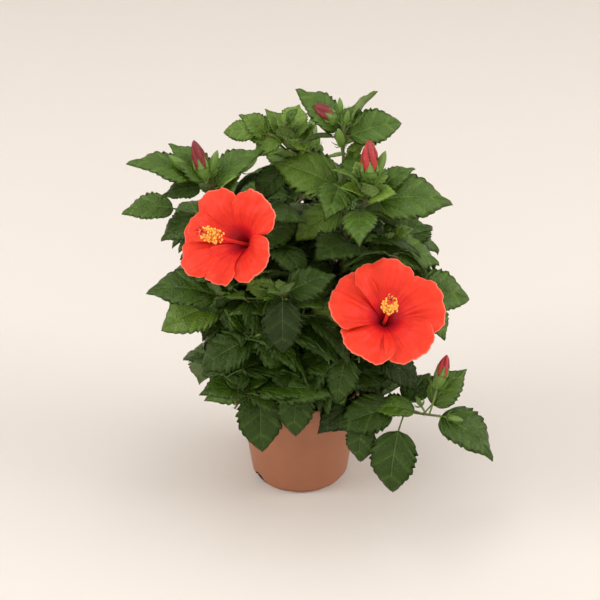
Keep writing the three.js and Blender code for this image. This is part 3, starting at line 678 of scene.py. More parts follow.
def grid_faces(rings, sides):
    """Triangles of a tube of rings, open at both ends."""
    i, k = np.meshgrid(np.arange(rings - 1), np.arange(sides), indexing="ij")
    i = i.ravel()
    k = k.ravel()
    turned = (k + 1) % sides
    return quads(i * sides + k, i * sides + turned, (i + 1) * sides + turned, (i + 1) * sides + k)


def closed_rings(mesh, rings, foot, head, look=0):
    """A closed skin over rings of points, with a fan about one point at each end."""
    count = len(rings)
    sides = len(rings[0])
    k = np.arange(sides)
    turned = (k + 1) % sides
    last = (count - 1) * sides
    foot_fan = np.stack([turned, k, np.full(sides, count * sides)], 1)
    head_fan = np.stack([last + k, last + turned, np.full(sides, count * sides + 1)], 1)
    faces = np.concatenate([grid_faces(count, sides), foot_fan, head_fan])
    mesh.add(np.concatenate([*rings, [foot], [head]]), faces, look)


def level_ring(radius, height, sides):
    """A ring of points about the pot's axis."""
    angles = ring_angles(sides)
    return np.stack([radius * np.cos(angles), radius * np.sin(angles), np.full(sides, height)], 1)


def tube(mesh, points, radii, sides, look=0, relief=None):
    """A closed tube along points, turned as little as possible. relief(share, angle) is a factor on
    the radius."""
    rings = len(points)
    tangents = np.gradient(points, axis=0)
    tangents /= np.linalg.norm(tangents, axis=1)[:, None]
    across, _ = cross_axes(tangents[0])
    axes = []
    for tangent in tangents:
        across = unit(across - tangent * (across @ tangent))
        axes.append((across, np.cross(tangent, across)))
    axes = np.array(axes)
    angles = ring_angles(sides)
    radii = np.asarray(radii)[:, None]
    if relief is not None:
        radii = radii * relief(np.linspace(0, 1, rings)[:, None], angles[None])
    turns = angles[None, :, None]
    ring = np.cos(turns) * axes[:, None, 0] + np.sin(turns) * axes[:, None, 1]
    wall = points[:, None] + ring * np.broadcast_to(radii, (rings, sides))[:, :, None]
    closed_rings(mesh, wall, points[0], points[-1], look)


def taper(mesh, curve, radii, steps, sides, look=0, relief=None):
    """A tube along a curve whose radius runs evenly from the first of two radii to the second."""
    tube(mesh, curve_points(curve, steps), np.linspace(*radii, steps), sides, look, relief)


def limb_tube(mesh, limb, steps, sides, look=0, relief=None):
    taper(mesh, limb["curve"], (limb["root"], limb["tip"]), steps, sides, look, relief)


def ball(mesh, centre, radius, reach, axis, look):
    """A small closed ellipsoid of one radius about an axis and another along it."""
    path = np.array([centre + unit(axis) * reach * height for _, height in BALL_PROFILE])
    tube(mesh, path, [radius * r for r, _ in BALL_PROFILE], BALL_SIDES, look)


# Materials.

RELIEF_DEPTH = 0.0006
NET_SCALE = 300
NET_DEPTH = 0.0014


def linear(colour):
    """A colour of 0 to 255 as the linear values that a shader takes."""
    values = np.array(colour) / 255
    return (*np.where(values <= 0.04045, values / 12.92, ((values + 0.055) / 1.055) ** 2.4), 1.0)


def shader_of(material):
    return material.node_tree.nodes["Principled BSDF"]


def new_node(material, kind, **inputs):
    """A new shader node, with an underscore for each blank in the names of its inputs."""
    node = material.node_tree.nodes.new("ShaderNode" + kind)
    for name, value in inputs.items():
        node.inputs[name.replace("_", " ")].default_value = value
    return node


def add_relief(material, pattern, socket, strength, depth, stretch=None):
    """Lays a pattern over the object's own space, longer along each axis where stretch is below 1, and
    takes its relief."""
    links = material.node_tree.links
    place = new_node(material, "TexCoord").outputs["Object"]
    if stretch:
        mapping = new_node(material, "Mapping", Scale=stretch)
        links.new(place, mapping.inputs["Vector"])
        place = mapping.outputs["Vector"]
    relief = new_node(material, "Bump", Strength=strength, Distance=depth)
    links.new(place, pattern.inputs["Vector"])
    links.new(pattern.outputs[socket], relief.inputs["Height"])
    links.new(relief.outputs["Normal"], shader_of(material).inputs["Normal"])


def surface(name, colour, roughness, bump_scale=0, bump=0.0, subsurface=0.0, specular=0.5):
    """A plain-coloured material, with an even fine relief where bump is set."""
    material = bpy.data.materials.new(name)
    material.use_nodes = True
    inputs = shader_of(material).inputs
    inputs["Base Color"].default_value = linear(colour)
    inputs["Roughness"].default_value = roughness
    inputs["Specular IOR Level"].default_value = specular
    if subsurface:
        inputs["Subsurface Weight"].default_value = subsurface
        inputs["Subsurface Scale"].default_value = 0.002
    if bump:
        noise = new_node(material, "TexNoise", Scale=bump_scale, Detail=3)
        add_relief(material, noise, "Fac", bump, RELIEF_DEPTH)
    return material


def mottled(name, dark, light, roughness, scale, bump, stretch=None, depth=RELIEF_DEPTH):
    """A material whose colour, roughness and relief wander between two tones."""
    material = surface(name, dark, roughness[0])
    links = material.node_tree.links
    noise = new_node(material, "TexNoise", Scale=scale, Detail=6)
    tones = new_node(material, "ValToRGB")
    rough = new_node(material, "MapRange", To_Min=roughness[0], To_Max=roughness[1])
    for element, tone, place in zip(tones.color_ramp.elements, (dark, light), (0.36, 0.66)):
        element.color = linear(tone)
        element.position = place
    add_relief(material, noise, "Fac", bump, depth, stretch)
    links.new(noise.outputs["Fac"], tones.inputs["Fac"])
    links.new(noise.outputs["Fac"], rough.inputs["Value"])
    links.new(tones.outputs["Color"], shader_of(material).inputs["Base Color"])
    links.new(rough.outputs["Result"], shader_of(material).inputs["Roughness"])
    return material


# From dark to light, for old and young leaves and for painted shade and painted light: blade, the
# bands along its veins, the veins, and the blade's gloss. The first is painted shade, for leaves in
# the shade, of tone -1.
LEAF_TONES = [
    ((32, 47, 12), (37, 54, 14), (54, 73, 28), 0.14),
    ((44, 65, 15), (50, 73, 18), (70, 94, 36), 0.16),
    ((54, 79, 16), (60, 88, 20), (80, 107, 38), 0.3),
    ((66, 95, 18), (73, 104, 23), (98, 127, 46), 0.38),
    ((82, 111, 26), (90, 120, 32), (114, 141, 56), 0.38),
    ((104, 134, 42), (116, 146, 50), (138, 164, 74), 0.38),
]
LEAF_BACKS = [(92, 114, 60), (116, 142, 72)]
# Leaves of these first tones, dark with age and painted shade, are smoother. Those past the next
# one have lighter backs.
OLD_TONES = 3


def leaf_materials():
    """Blade, band and vein of each tone, then the undersides, with a fine net of veins as relief."""
    made = []
    for k, (blade_tone, band_tone, vein_tone, shine) in enumerate(LEAF_TONES):
        rough = 0.38 if k < OLD_TONES else 0.45
        made.append(surface(f"leaf_blade_{k}", blade_tone, rough, specular=shine))
        made.append(surface(f"leaf_band_{k}", band_tone, rough + 0.02, specular=shine))
        made.append(surface(f"leaf_vein_{k}", vein_tone, 0.55, specular=0.4))
    for k, back in enumerate(LEAF_BACKS):
        made.append(surface(f"leaf_back_{k}", back, 0.62))
    for material in made:
        cells = new_node(material, "TexVoronoi", Scale=NET_SCALE)
        cells.feature = "DISTANCE_TO_EDGE"
        add_relief(material, cells, "Distance", 0.8, NET_DEPTH)
    return made


# The veined blade, made in its own plane in a few forms, and bent for each leaf.

BLADE_SEED = 61
TOOTH_COUNT = 8
FIRST_TOOTH = 0.19
LAST_TOOTH = 0.93
TOOTH_DEPTH = 0.07
VEIN_HALF_WIDTH = 0.0026
PALMATE_SHARE = 0.4
BLADE_COLUMNS = (0.0, 0.022, 0.17, 0.36, 0.56, 0.78, 1.0)
QUILT_HEIGHT = 0.055
# Each form of blade: its taper and how far its tip is drawn out. Hanging leaves take the first.
BLADE_FORMS = ((0.74, 0.25), (0.86, 0.5), (0.94, 0.45), (1.02, 0.4))
HANGING_RISE = -0.84
UPPER, BAND, VEIN, UNDER = range(4)
# Ranges of draws for each blade, as shares of its length: how far its margins curl back, its tip
# droops and its margins wave, then the number of waves and a factor on its quilting.
CURLS = (0.03, 0.08)
DROOPS = (0.0, 0.08)
WAVE_HEIGHTS = (0.006, 0.018)
WAVE_COUNTS = (1.6, 2.8)
QUILT_FACTORS = (0.75, 1.25)
FOLD_SPREAD = 6
TWIST_SPREAD = 14
TONE_SPREAD = 0.7


def blade_rows(draws):
    """Margin share, width factor, place among the veins and what the next strip is."""
    pitch = (LAST_TOOTH - FIRST_TOOTH) / (TOOTH_COUNT - 1)
    rows = [(share * FIRST_TOOTH, 1.0, -1 + share, UPPER) for share in (0.0, 0.2, 0.4, 0.6)]
    rows.append((0.8 * FIRST_TOOTH, 1.01, -0.2, BAND))
    for k in range(TOOTH_COUNT):
        tip = FIRST_TOOTH + pitch * (k + (draws.spread(0.16) if 0 < k < TOOTH_COUNT - 1 else 0))
        deep = TOOTH_DEPTH * (0.4 if k == 0 else draws.between(0.6, 1.35))
        veined = k % 2 == 0
        rows.append((tip - VEIN_HALF_WIDTH, 1 + deep, k - 0.03, VEIN if veined else BAND))
        rows.append((tip + VEIN_HALF_WIDTH, 1 + deep, k + 0.03, BAND if veined else UPPER))
        if k < TOOTH_COUNT - 1:
            rows.append((tip + pitch * 0.22, 1 - deep * 0.6, k + 0.27, UPPER))
            rows.append((tip + pitch * 0.66, 1 + deep * 0.5, k + 0.73, UPPER if veined else BAND))
    rows.append((0.965, 0.9, TOOTH_COUNT - 0.4, UPPER))
    rows.append((1.0, 1.0, float(TOOTH_COUNT), UPPER))
    return rows


def form_half_width(share, taper, drawn_out):
    """Half the width of one form of blade, narrowed towards its tip."""
    return float(blade_half_width(share, taper)) * (1 - drawn_out * smooth(0.62, 0.97, share))


def quilt_height(margin, place, a):
    """How far the blade stands up between its veins, at a row's margin share and place among them
    and a column's share of the half width."""
    between = abs(math.sin(math.pi * place / 2)) ** 0.8
    creases = 0.5 * math.sin(2 * math.pi * place) * math.sin(2 * math.pi * a)
    ripples = 0.22 * math.sin(4 * math.pi * a + place)
    quilt = (between + creases + ripples * between) * math.sin(math.pi * a ** 0.75)
    return quilt * ((1 - 0.5 * margin) * QUILT_HEIGHT * 0.7)


def blade_template(taper, drawn_out, draws):
    """The blade's points as columns (share, across, column share, quilt, face), its triangles and
    what each is."""
    halves = {1: blade_rows(draws), -1: blade_rows(draws)}
    columns = [-c for c in reversed(BLADE_COLUMNS[1:])] + list(BLADE_COLUMNS)
    places = {}
    points = []

    def corner(half, row, column, face):
        margin, width, place, _ = halves[half][row]
        a = abs(columns[column])
        middle = 0.5 * (margin + halves[-half][row][0])
        rib = max(0.0, (middle - PALMATE_SHARE) / (1 - PALMATE_SHARE))
        share = mix(rib, margin, a ** 1.1)
        across = columns[column] * form_half_width(margin, taper, drawn_out) * (1 + (width - 1) * a ** 3)
        on_margin = a == 1 or margin in (0.0, 1.0)
        side = 0 if on_margin else face
        key = (round(share, 5), round(across, 5), side)
        if key not in places:
            places[key] = len(points)
            points.append((share, across, columns[column], quilt_height(margin, place, a), side))
        return places[key]

    faces = []
    kinds = []
    for row in range(len(halves[1]) - 1):
        for column in range(len(columns) - 1):
            half = 1 if columns[column] + columns[column + 1] > 0 else -1
            on_rib = min(abs(columns[column]), abs(columns[column + 1])) == 0
            kind = VEIN if on_rib else halves[half][row][3]
            for face in (1, -1):
                a, b = corner(half, row, column, face), corner(half, row, column + 1, face)
                d, c = corner(half, row + 1, column, face), corner(half, row + 1, column + 1, face)
                for triangle in ((a, b, c), (a, c, d)):
                    if len(set(triangle)) == 3:
                        faces.append(triangle if face < 0 else triangle[::-1])
                        kinds.append(UNDER if face < 0 else kind)
    return np.array(points), np.array(faces), np.array(kinds)


def blade_forms():
    draws = Draws(BLADE_SEED)
    return [blade_template(*form, draws) for form in BLADE_FORMS]


BLADES = blade_forms()


def blade(mesh, leaf, draws):
    """One veined leaf blade, bent, curled, waved and twisted by its own draws."""
    form = draws.next() * len(BLADES)
    points, faces, kinds = BLADES[0 if leaf["chord"][2] < HANGING_RISE else int(form)]
    share, across, column, quilt, face = points.T
    length = leaf["length"]
    fold = math.radians(LEAF_FOLD + draws.spread(FOLD_SPREAD))
    curl = draws.between(*CURLS)
    droop = draws.between(*DROOPS)
    wave = draws.between(*WAVE_HEIGHTS)
    waves = draws.between(*WAVE_COUNTS)
    phases = (draws.next() * FULL_TURN, draws.next() * FULL_TURN)
    twist = math.radians(draws.spread(TWIST_SPREAD)) * share
    phase = np.where(across > 0, *phases)
    thin = 1 - 0.6 * np.abs(column) ** 2
    height = (
        LEAF_ARCH * 4 * share * (1 - share) + np.abs(across) * math.sin(fold)
        + quilt * draws.between(*QUILT_FACTORS) - curl * np.abs(column) ** 2.5 - droop * share ** 3
        + wave * column ** 2 * np.sin(2 * math.pi * waves * share + phase)
        + face * LEAF_THICKNESS / 2 * thin
    )
    normal = leaf["normal"]
    side = leaf["side"]
    turned_side = np.outer(np.cos(twist), side) + np.outer(np.sin(twist), normal)
    turned_normal = np.outer(np.cos(twist), normal) - np.outer(np.sin(twist), side)
    bent = (
        leaf["base"] + np.outer(share * length, leaf["chord"])
        + turned_side * (across * math.cos(fold) * length)[:, None]
        + turned_normal * (height * length)[:, None]
    )
    # The tone paints the leaf's age and its light and shade; tone -1, painted shade, takes the first.
    tone = round(leaf["tone"] + draws.spread(TONE_SPREAD)) + 1
    tone = int(np.clip(tone, 0, len(LEAF_TONES) - 1))
    back = len(LEAF_TONES) * 3 + (1 if tone > OLD_TONES else 0)
    looks = np.array([3 * tone, 3 * tone + 1, 3 * tone + 2, back])[kinds]
    mesh.add(bent, faces, looks)


PETIOLE_RADII = np.array([1.15, 0.95, 0.85, 0.8, 0.78, 0.78, 0.95, 0.7]) * PETIOLE_RADIUS


def petiole(mesh, leaf, look):
    """The leaf's stalk, which bows up out of the twig and swells where the blade begins."""
    root = leaf["root"]
    base = leaf["base"]
    span = np.linalg.norm(base - root)
    control = mix(root, base, 0.5) + vec(0, 0, 1) * span * 0.12
    points = curve_points((root, control, base + leaf["chord"] * 1.5), len(PETIOLE_RADII))
    scale = 0.7 + 0.3 * min(1, leaf["length"] / 60)
    tube(mesh, points, PETIOLE_RADII * scale, 7, look)


def stipules(mesh, leaf, look, draws):
    """Two threads beside the petiole's root."""
    for side in (1, -1):
        way = unit(leaf["leaving"] + leaf["side"] * side * 0.8 + leaf["chord"] * 0.3)
        reach = draws.between(4, 7)
        bend = leaf["root"] + way * reach * 0.5 + leaf["side"] * side * 0.6
        taper(mesh, (leaf["root"], bend, leaf["root"] + way * reach), (0.35, 0.12), 4, 4, look)


# Buds: a stalk, a ruff of thin bracts, a calyx of five lobes and, on the ripe ones, furled petals.

# The last look is painted shade, a darker red in the furrows of the furled petals.
STALK, CALYX, RED, RED_DEEP, FURROW_PAINTED_SHADE = range(5)
BUD_BRACTS = 8
FURLED_TURN = 6
FURLED_RINGS = 36
FURLED_SIDES = 60
CALYX_RINGS = 12
CALYX_SIDES = 30


def turned_shape(mesh, foot, axis, radius_of, heights, sides, look, folds=None):
    """Rings about an axis whose radius depends on the height and the angle. folds names a second look,
    a darker red that paints shade in the furrows between petals furled with a given turn."""
    across, up = cross_axes(axis)
    angles = ring_angles(sides)
    ring = np.outer(np.cos(angles), across) + np.outer(np.sin(angles), up)
    rows = [foot + axis * height + ring * radius_of(height, angles)[:, None] for height in heights]
    if folds:
        ring_number, side_number = np.divmod(np.arange((len(rows) - 1) * sides), sides)
        share = heights[ring_number] / heights[-1]
        furrow = np.cos(5 * angles[side_number] + folds[1] * share) < -0.8
        fans = np.zeros(2 * sides, bool)
        look = np.where(np.concatenate([furrow, furrow, fans]), folds[0], look)
    closed_rings(mesh, rows, foot + axis * heights[0], foot + axis * heights[-1], look)


def lobe(mesh, rows, look):
    """A pointed calyx lobe over rings of four points: an edge, the outer face, an edge, the inner."""
    n = 4 * (len(rows) - 1)
    ends = [[0, 3, 2], [0, 2, 1], [n, n + 1, n + 2], [n, n + 2, n + 3]]
    mesh.add(np.concatenate(rows), np.concatenate([grid_faces(len(rows), 4), ends]), look)


def bud_lobe(mesh, foot, axis, turn, height, radius, reach):
    """A calyx lobe that lies against the furled petals."""
    out = outward(cross_axes(axis), turn)
    side = np.cross(axis, out)
    rows = []
    for t in np.linspace(0, 1, 8):
        middle = foot + axis * (height + reach * t) + out * radius * (1.06 - 0.2 * t * t)
        width = radius * 0.62 * (1 - t) ** 0.8
        edge = middle - out * width * 0.3
        bulge = out * radius * 0.1 * (1 - t)
        rows.append([edge - side * width, middle + bulge, edge + side * width, middle - out * 0.5])
    lobe(mesh, rows, CALYX)


def bract_ruff(mesh, foot, axis, radius, reach, count, draws):
    for k in range(count):
        out = outward(cross_axes(axis), FULL_TURN * (k + draws.spread(0.15)) / count)
        start = foot + out * radius * 0.6
        end = start + out * reach * draws.between(0.55, 0.8) + axis * reach * draws.between(0.45, 0.8)
        bend = start + out * reach * 0.5 + axis * reach * 0.1
        taper(mesh, (start, bend, end), (0.75, 0.2), 6, 5, CALYX)


def bud(mesh, limb, row, ripe, draws):
    at, stalk, heading, rise, length = row
    axis = direction(heading, rise)
    root = curve_point(limb["curve"], at)
    foot = root + axis * stalk
    bow = np.cross(axis, vec(0, 0, 1)) * stalk * 0.06
    taper(mesh, (root, mix(root, foot, 0.5) + bow, foot + axis), (0.9, 1.15), 7, 7, STALK)
    tone, radius, cup_share = ripe or (0, GREEN_BUD_RADIUS, 1)
    body = radius * length
    cup = cup_share * length

    def calyx_radius(height, angles):
        t = height / cup
        if ripe:
            swell = 0.42 + 0.56 * np.sin(np.pi / 2 * t ** 0.8)
        else:
            swell = 0.9 * np.sin(np.pi * min(0.985, 0.1 + 0.88 * t)) ** 0.75
        return body * swell * (1 + 0.06 * np.cos(5 * angles))

    def furled_radius(height, angles):
        t = height / length
        swell = np.sin(np.pi * np.clip(0.14 + 0.86 * t ** 1.1, 0, 0.995)) ** 0.6
        fold = np.cos(5 * angles + FURLED_TURN * t)
        crumple = 0.03 * np.cos(13 * angles - 21 * t) + 0.02 * np.cos(9 * angles + 34 * t)
        return body * 0.98 * swell * (1 + 0.11 * fold * smooth(0.2, 0.6, t) + crumple)

    turned_shape(mesh, foot, axis, calyx_radius, np.linspace(0, cup, CALYX_RINGS), CALYX_SIDES, CALYX)
    if ripe:
        for k in range(PETAL_COUNT):
            bud_lobe(mesh, foot, axis, FULL_TURN * k / PETAL_COUNT, cup * 0.85, body, length * 0.3)
        heights = np.linspace(cup * 0.8, length, FURLED_RINGS)
        petals = RED if tone == 1 else RED_DEEP
        folds = (FURROW_PAINTED_SHADE, FURLED_TURN)
        turned_shape(mesh, foot, axis, furled_radius, heights, FURLED_SIDES, petals, folds)
    bract_ruff(mesh, foot + axis * 0.6, axis, body * 0.5, 6 + 0.2 * length, BUD_BRACTS, draws)


# Blooms. A petal's tones, each with the number of steps that lead to the next.

PETAL_STOPS = [((140, 0, 20), 4), ((196, 8, 22), 4), ((226, 47, 21), 3), ((239, 68, 38), 0)]
# A paler rim on each petal's last row, a painted highlight along the margin.
PETAL_RIM_HIGHLIGHT = (246, 124, 104)
# Waves across a petal: height, waves, and the phase that each next petal adds.
FRILL_WAVES = ((1.5, 8, 2.3), (0.9, 17, 1.1))
MARGIN_WAVES = ((0.4, 8, 3), (0.5, 19, 1), (0.3, 41, 2))


def petal_tones():
    """From the throat to the margin, and the rim, which is a painted highlight."""
    tones = []
    for (tone, steps), (after, _) in zip(PETAL_STOPS, PETAL_STOPS[1:]):
        tones += [mix(np.array(tone), np.array(after), k / steps) for k in range(steps)]
    return [*tones, np.array(PETAL_STOPS[-1][0]), np.array(PETAL_RIM_HIGHLIGHT)]


PETAL_TONES = petal_tones()
TUBE_LOOK, FILAMENT_LOOK, ANTHER_LOOK, STIGMA_LOOK, CALYX_LOOK = range(len(PETAL_TONES), len(PETAL_TONES) + 5)


def bloom_axes(bloom):
    axis = direction(bloom["heading"], bloom["rise"])
    right = unit(np.cross(axis, vec(0, 0, 1)))
    return axis, right, np.cross(right, axis)


def funnel(out):
    """Radius and height of the petals' funnel at a share of a petal's length, from deep in the throat."""
    deep = np.clip(1 - out / THROAT_SHARE, 0, 1)
    height = BLOOM_DEPTH * (1 - (1 - out) ** 2.1) - THROAT_DEPTH * deep ** 1.5
    return THROAT_RADIUS - 0.8 * deep, height


def waves_across(table, across, number):
    return sum(height * np.sin(count * across + phase * number) for height, count, phase in table)


def petal_points(bloom, number, across, out):
    """Points of a petal for arrays of across, -1 to 1, and out, 0 at the throat to 1."""
    spread = math.radians(PETAL_HALF_ANGLE) * (1.12 - 0.12 * out)
    angle = math.radians(bloom["turns"][number]) + across * spread
    rounded_end = 1 - 0.3 * np.abs(across) ** 3.6 * out
    tube_radius, tube_height = funnel(out)
    radius = tube_radius + (bloom["reach"][number] - THROAT_RADIUS) * out * rounded_end
    radius = radius + smooth(0.85, 1, out) * waves_across(MARGIN_WAVES, across, number)
    ruffle = 2 * out ** 3 * np.sin(3.2 * across + 1.7 * number + 2)
    height = tube_height + 2.6 * across * (0.1 + 0.9 * out) + ruffle - 4 * out ** 4
    frill = smooth(0.6, 1, out) * waves_across(FRILL_WAVES, across, number)
    ribs = np.abs(np.sin(13 * across + number)) ** 0.7 * 0.8 * smooth(0.08, 0.3, out) * (1 - 0.5 * out)
    ribs = ribs + 0.22 * np.sin(33 * across + 2 * number) * smooth(0.12, 0.3, out) * (1 - 0.4 * out)
    folds = 1.7 * np.sin(4.2 * across + 2.9 * number) + 0.9 * np.sin(9.4 * across - 1.3 * number + 4 * out)
    creases = 0.6 * np.sin(14 * out + 3 * across + number) * smooth(0.3, 0.7, out) * (1 - np.abs(across))
    folds = folds * smooth(0.15, 0.6, out) + creases
    axis, right, up = bloom_axes(bloom)
    flat = (
        vec(*bloom["throat"])
        - right * (radius * np.cos(angle))[..., None]
        + up * (radius * np.sin(angle))[..., None]
    )
    return flat + axis * (height + frill + ribs + folds)[..., None]


def petal_facets(out, across, number):
    """The tone of each facet of a petal, by how far out it is, with streaks, darker veins and a painted
    highlight on the rim.
    """
    streak = np.sin(across * 37 + number) * 0.5 + np.sin(across * 91 + 2 * number) * 0.3
    depth = out + 0.05 * streak * (1 - out)
    tone = np.interp(depth, [0.0, 0.12, 0.2, 0.3, 0.9, 1.0], [0, 1, 3.6, 7, 8.8, 11])
    veins = (np.abs(np.sin(13 * across + number)) < 0.2) & (out > 0.3) & (out < 0.85)
    tone = np.where(veins, tone - 0.6, tone)
    rim = len(PETAL_TONES) - 1
    facets = np.clip(np.round(tone[:-1, :-1]), 0, rim - 1).astype(int)
    facets[-1] = rim
    return facets.ravel()


def petal(mesh, bloom, number):
    """A petal of two faces that meet in its margin."""
    outs = np.linspace(0, 1, PETAL_ROWS + 1)
    out, across = np.meshgrid(outs, np.linspace(-1, 1, PETAL_COLUMNS + 1), indexing="ij")
    middle = petal_points(bloom, number, across, out)
    inside = (np.abs(across) < 0.999) & (out > 0.001) & (out < 0.999)
    lift = np.where(inside, PETAL_THICKNESS / 2, 0)[..., None] * bloom_axes(bloom)[0]
    upper = (middle + lift).reshape(-1, 3)
    lower = (middle - lift).reshape(-1, 3)
    place = np.arange(len(upper))
    lower_place = np.where(inside.ravel(), place + len(upper), place)
    width = PETAL_COLUMNS + 1
    i, k = np.meshgrid(np.arange(PETAL_ROWS), np.arange(PETAL_COLUMNS), indexing="ij")
    a = (i * width + k).ravel()
    upper_faces = quads(a, a + 1, a + width + 1, a + width)
    lower_faces = lower_place[upper_faces][:, ::-1]
    used, places = np.unique(np.concatenate([upper_faces, lower_faces]), return_inverse=True)
    points = np.concatenate([upper, lower])[used]
    mesh.add(points, places.reshape(-1, 3), np.tile(petal_facets(out, across, number), 4))


def bloom_column(mesh, bloom, draws):
    """The column that stands out of the throat, with anthers on filaments and five stigmas."""
    axis, right, up = bloom_axes(bloom)
    throat = vec(*bloom["throat"])
    aside, above = bloom["column"]
    tip = throat + axis * COLUMN_LENGTH + right * aside + up * above
    root = throat - axis * (THROAT_DEPTH + 0.5)
    curve = (root, throat + axis * COLUMN_LENGTH * 0.45 + right * aside * 0.3 - up * 3, tip)
    share = np.linspace(0, 1, 30)
    radii = mix(COLUMN_RADIUS * 1.15, COLUMN_RADIUS * 0.6, share) + 1.0 * np.clip(1 - 12 * share, 0, 1)
    tube(mesh, curve_points(curve, len(share)), radii, 14, TUBE_LOOK)
    first = 1 - ANTHER_LENGTH / COLUMN_LENGTH
    for k in range(ANTHER_COUNT):
        t = mix(first, 0.985, (k + 0.5) / ANTHER_COUNT)
        foot = curve_point(curve, t)
        out = outward((right, up), math.radians(ANTHER_TURN * k))
        way = unit(out + axis * draws.between(-0.1, 0.7))
        reach = draws.between(*FILAMENT_LENGTHS) * (1 - 0.2 * (t - first) / (1 - first))
        end = foot + way * reach
        curved = (foot, mix(foot, end, 0.5) + axis * 0.5, end)
        taper(mesh, curved, (FILAMENT_RADIUS, FILAMENT_RADIUS), 4, 4, FILAMENT_LOOK)
        lie = np.cross(way, out + axis * draws.spread(1)) + vec(0, 0, 0.3)
        ball(mesh, end, 0.95, 1.4, lie, ANTHER_LOOK)
    for k in range(PETAL_COUNT):
        out = outward((right, up), FULL_TURN * k / PETAL_COUNT)
        end = tip + axis * 6 + out * 3.2
        style = (tip - axis, tip + axis * 3.5 + out * 0.4, end)
        taper(mesh, style, (STYLE_RADIUS, STYLE_RADIUS), 6, 6, STIGMA_LOOK)
        ball(mesh, end, 1.35, 1.1, out, STIGMA_LOOK)


def bloom_calyx(mesh, bloom, draws):
    """The green cup behind the petals, its five lobes against their backs and its ruff of bracts."""
    axis = bloom_axes(bloom)[0]
    throat = vec(*bloom["throat"])
    foot = throat - axis * CALYX_DEPTH
    cup_top = CALYX_DEPTH - THROAT_DEPTH - 0.3

    def radius_of(height, angles):
        t = height / cup_top
        return 1.9 + 3.2 * np.sin(np.pi * min(0.72, 0.75 * t)) * (1 + 0.05 * np.cos(5 * angles))

    turned_shape(mesh, foot, axis, radius_of, np.linspace(0, cup_top, CALYX_RINGS), CALYX_SIDES, CALYX_LOOK)
    axes = cross_axes(axis)
    for k in range(PETAL_COUNT):
        out = outward(axes, FULL_TURN * (k + 0.5) / PETAL_COUNT)
        rows = []
        for t in np.linspace(0, 1, 12):
            share = 0.19 * t
            radius, height = funnel(share)
            middle = throat + axis * (height - 1.3) + out * (radius + 52 * share + 1.3)
            width = 3.9 * (1 - t) ** 0.7
            side = np.cross(axis, out) * width
            edge = middle - out * 0.2 * width
            bulge = out * 0.5 - axis * 0.4
            rows.append([edge - side, middle + bulge, edge + side, middle - (out - axis) * 0.3])
        lobe(mesh, rows, CALYX_LOOK)
    for k in range(BLOOM_BRACTS):
        out = outward(axes, FULL_TURN * k / BLOOM_BRACTS)
        start = foot + out * 2
        end = start + out * draws.between(8, 10) + axis * draws.between(6, 9)
        taper(mesh, (start, start + out * 6 + axis, end), (0.6, 0.15), 6, 5, CALYX_LOOK)


def make_blooms():
    materials = [
        surface(f"petal_{k}", tone, 0.55, bump_scale=320, bump=0.5, subsurface=0.06, specular=0.3)
        for k, tone in enumerate(PETAL_TONES)
    ]
    materials += [
        surface("bloom_tube", (232, 58, 44), 0.5, subsurface=0.2),
        surface("filament", (244, 120, 66), 0.5),
        surface("anther", (250, 190, 74), 0.75, bump_scale=1400, bump=0.5),
        surface("stigma", (196, 30, 34), 0.8, bump_scale=1400, bump=0.5),
        surface("calyx_green", (96, 124, 52), 0.5, bump_scale=700, bump=0.3),
    ]
    draws = Draws(BLOOM_SEED)
    for name, bloom in BLOOMS.items():
        mesh = Mesh()
        for number in range(PETAL_COUNT):
            petal(mesh, bloom, number)
        bloom_column(mesh, bloom, draws)
        bloom_calyx(mesh, bloom, draws)
        back = vec(*bloom["throat"]) - direction(bloom["heading"], bloom["rise"]) * BLOOM_BACK
        twig = twig_limb(LIMBS[bloom["bough"]], bloom["at"], back, *BLOOM_STALK_RADII)
        limb_tube(mesh, twig, 20, 9, CALYX_LOOK)
        mesh.make(name + "_petals", materials, "bloom", name)


# Foliage.

FOLIAGE_SEED = 523
GREEN_PETIOLE, BLUSHED_PETIOLE = 1, 2
BLUSHED_SHARE = 0.3


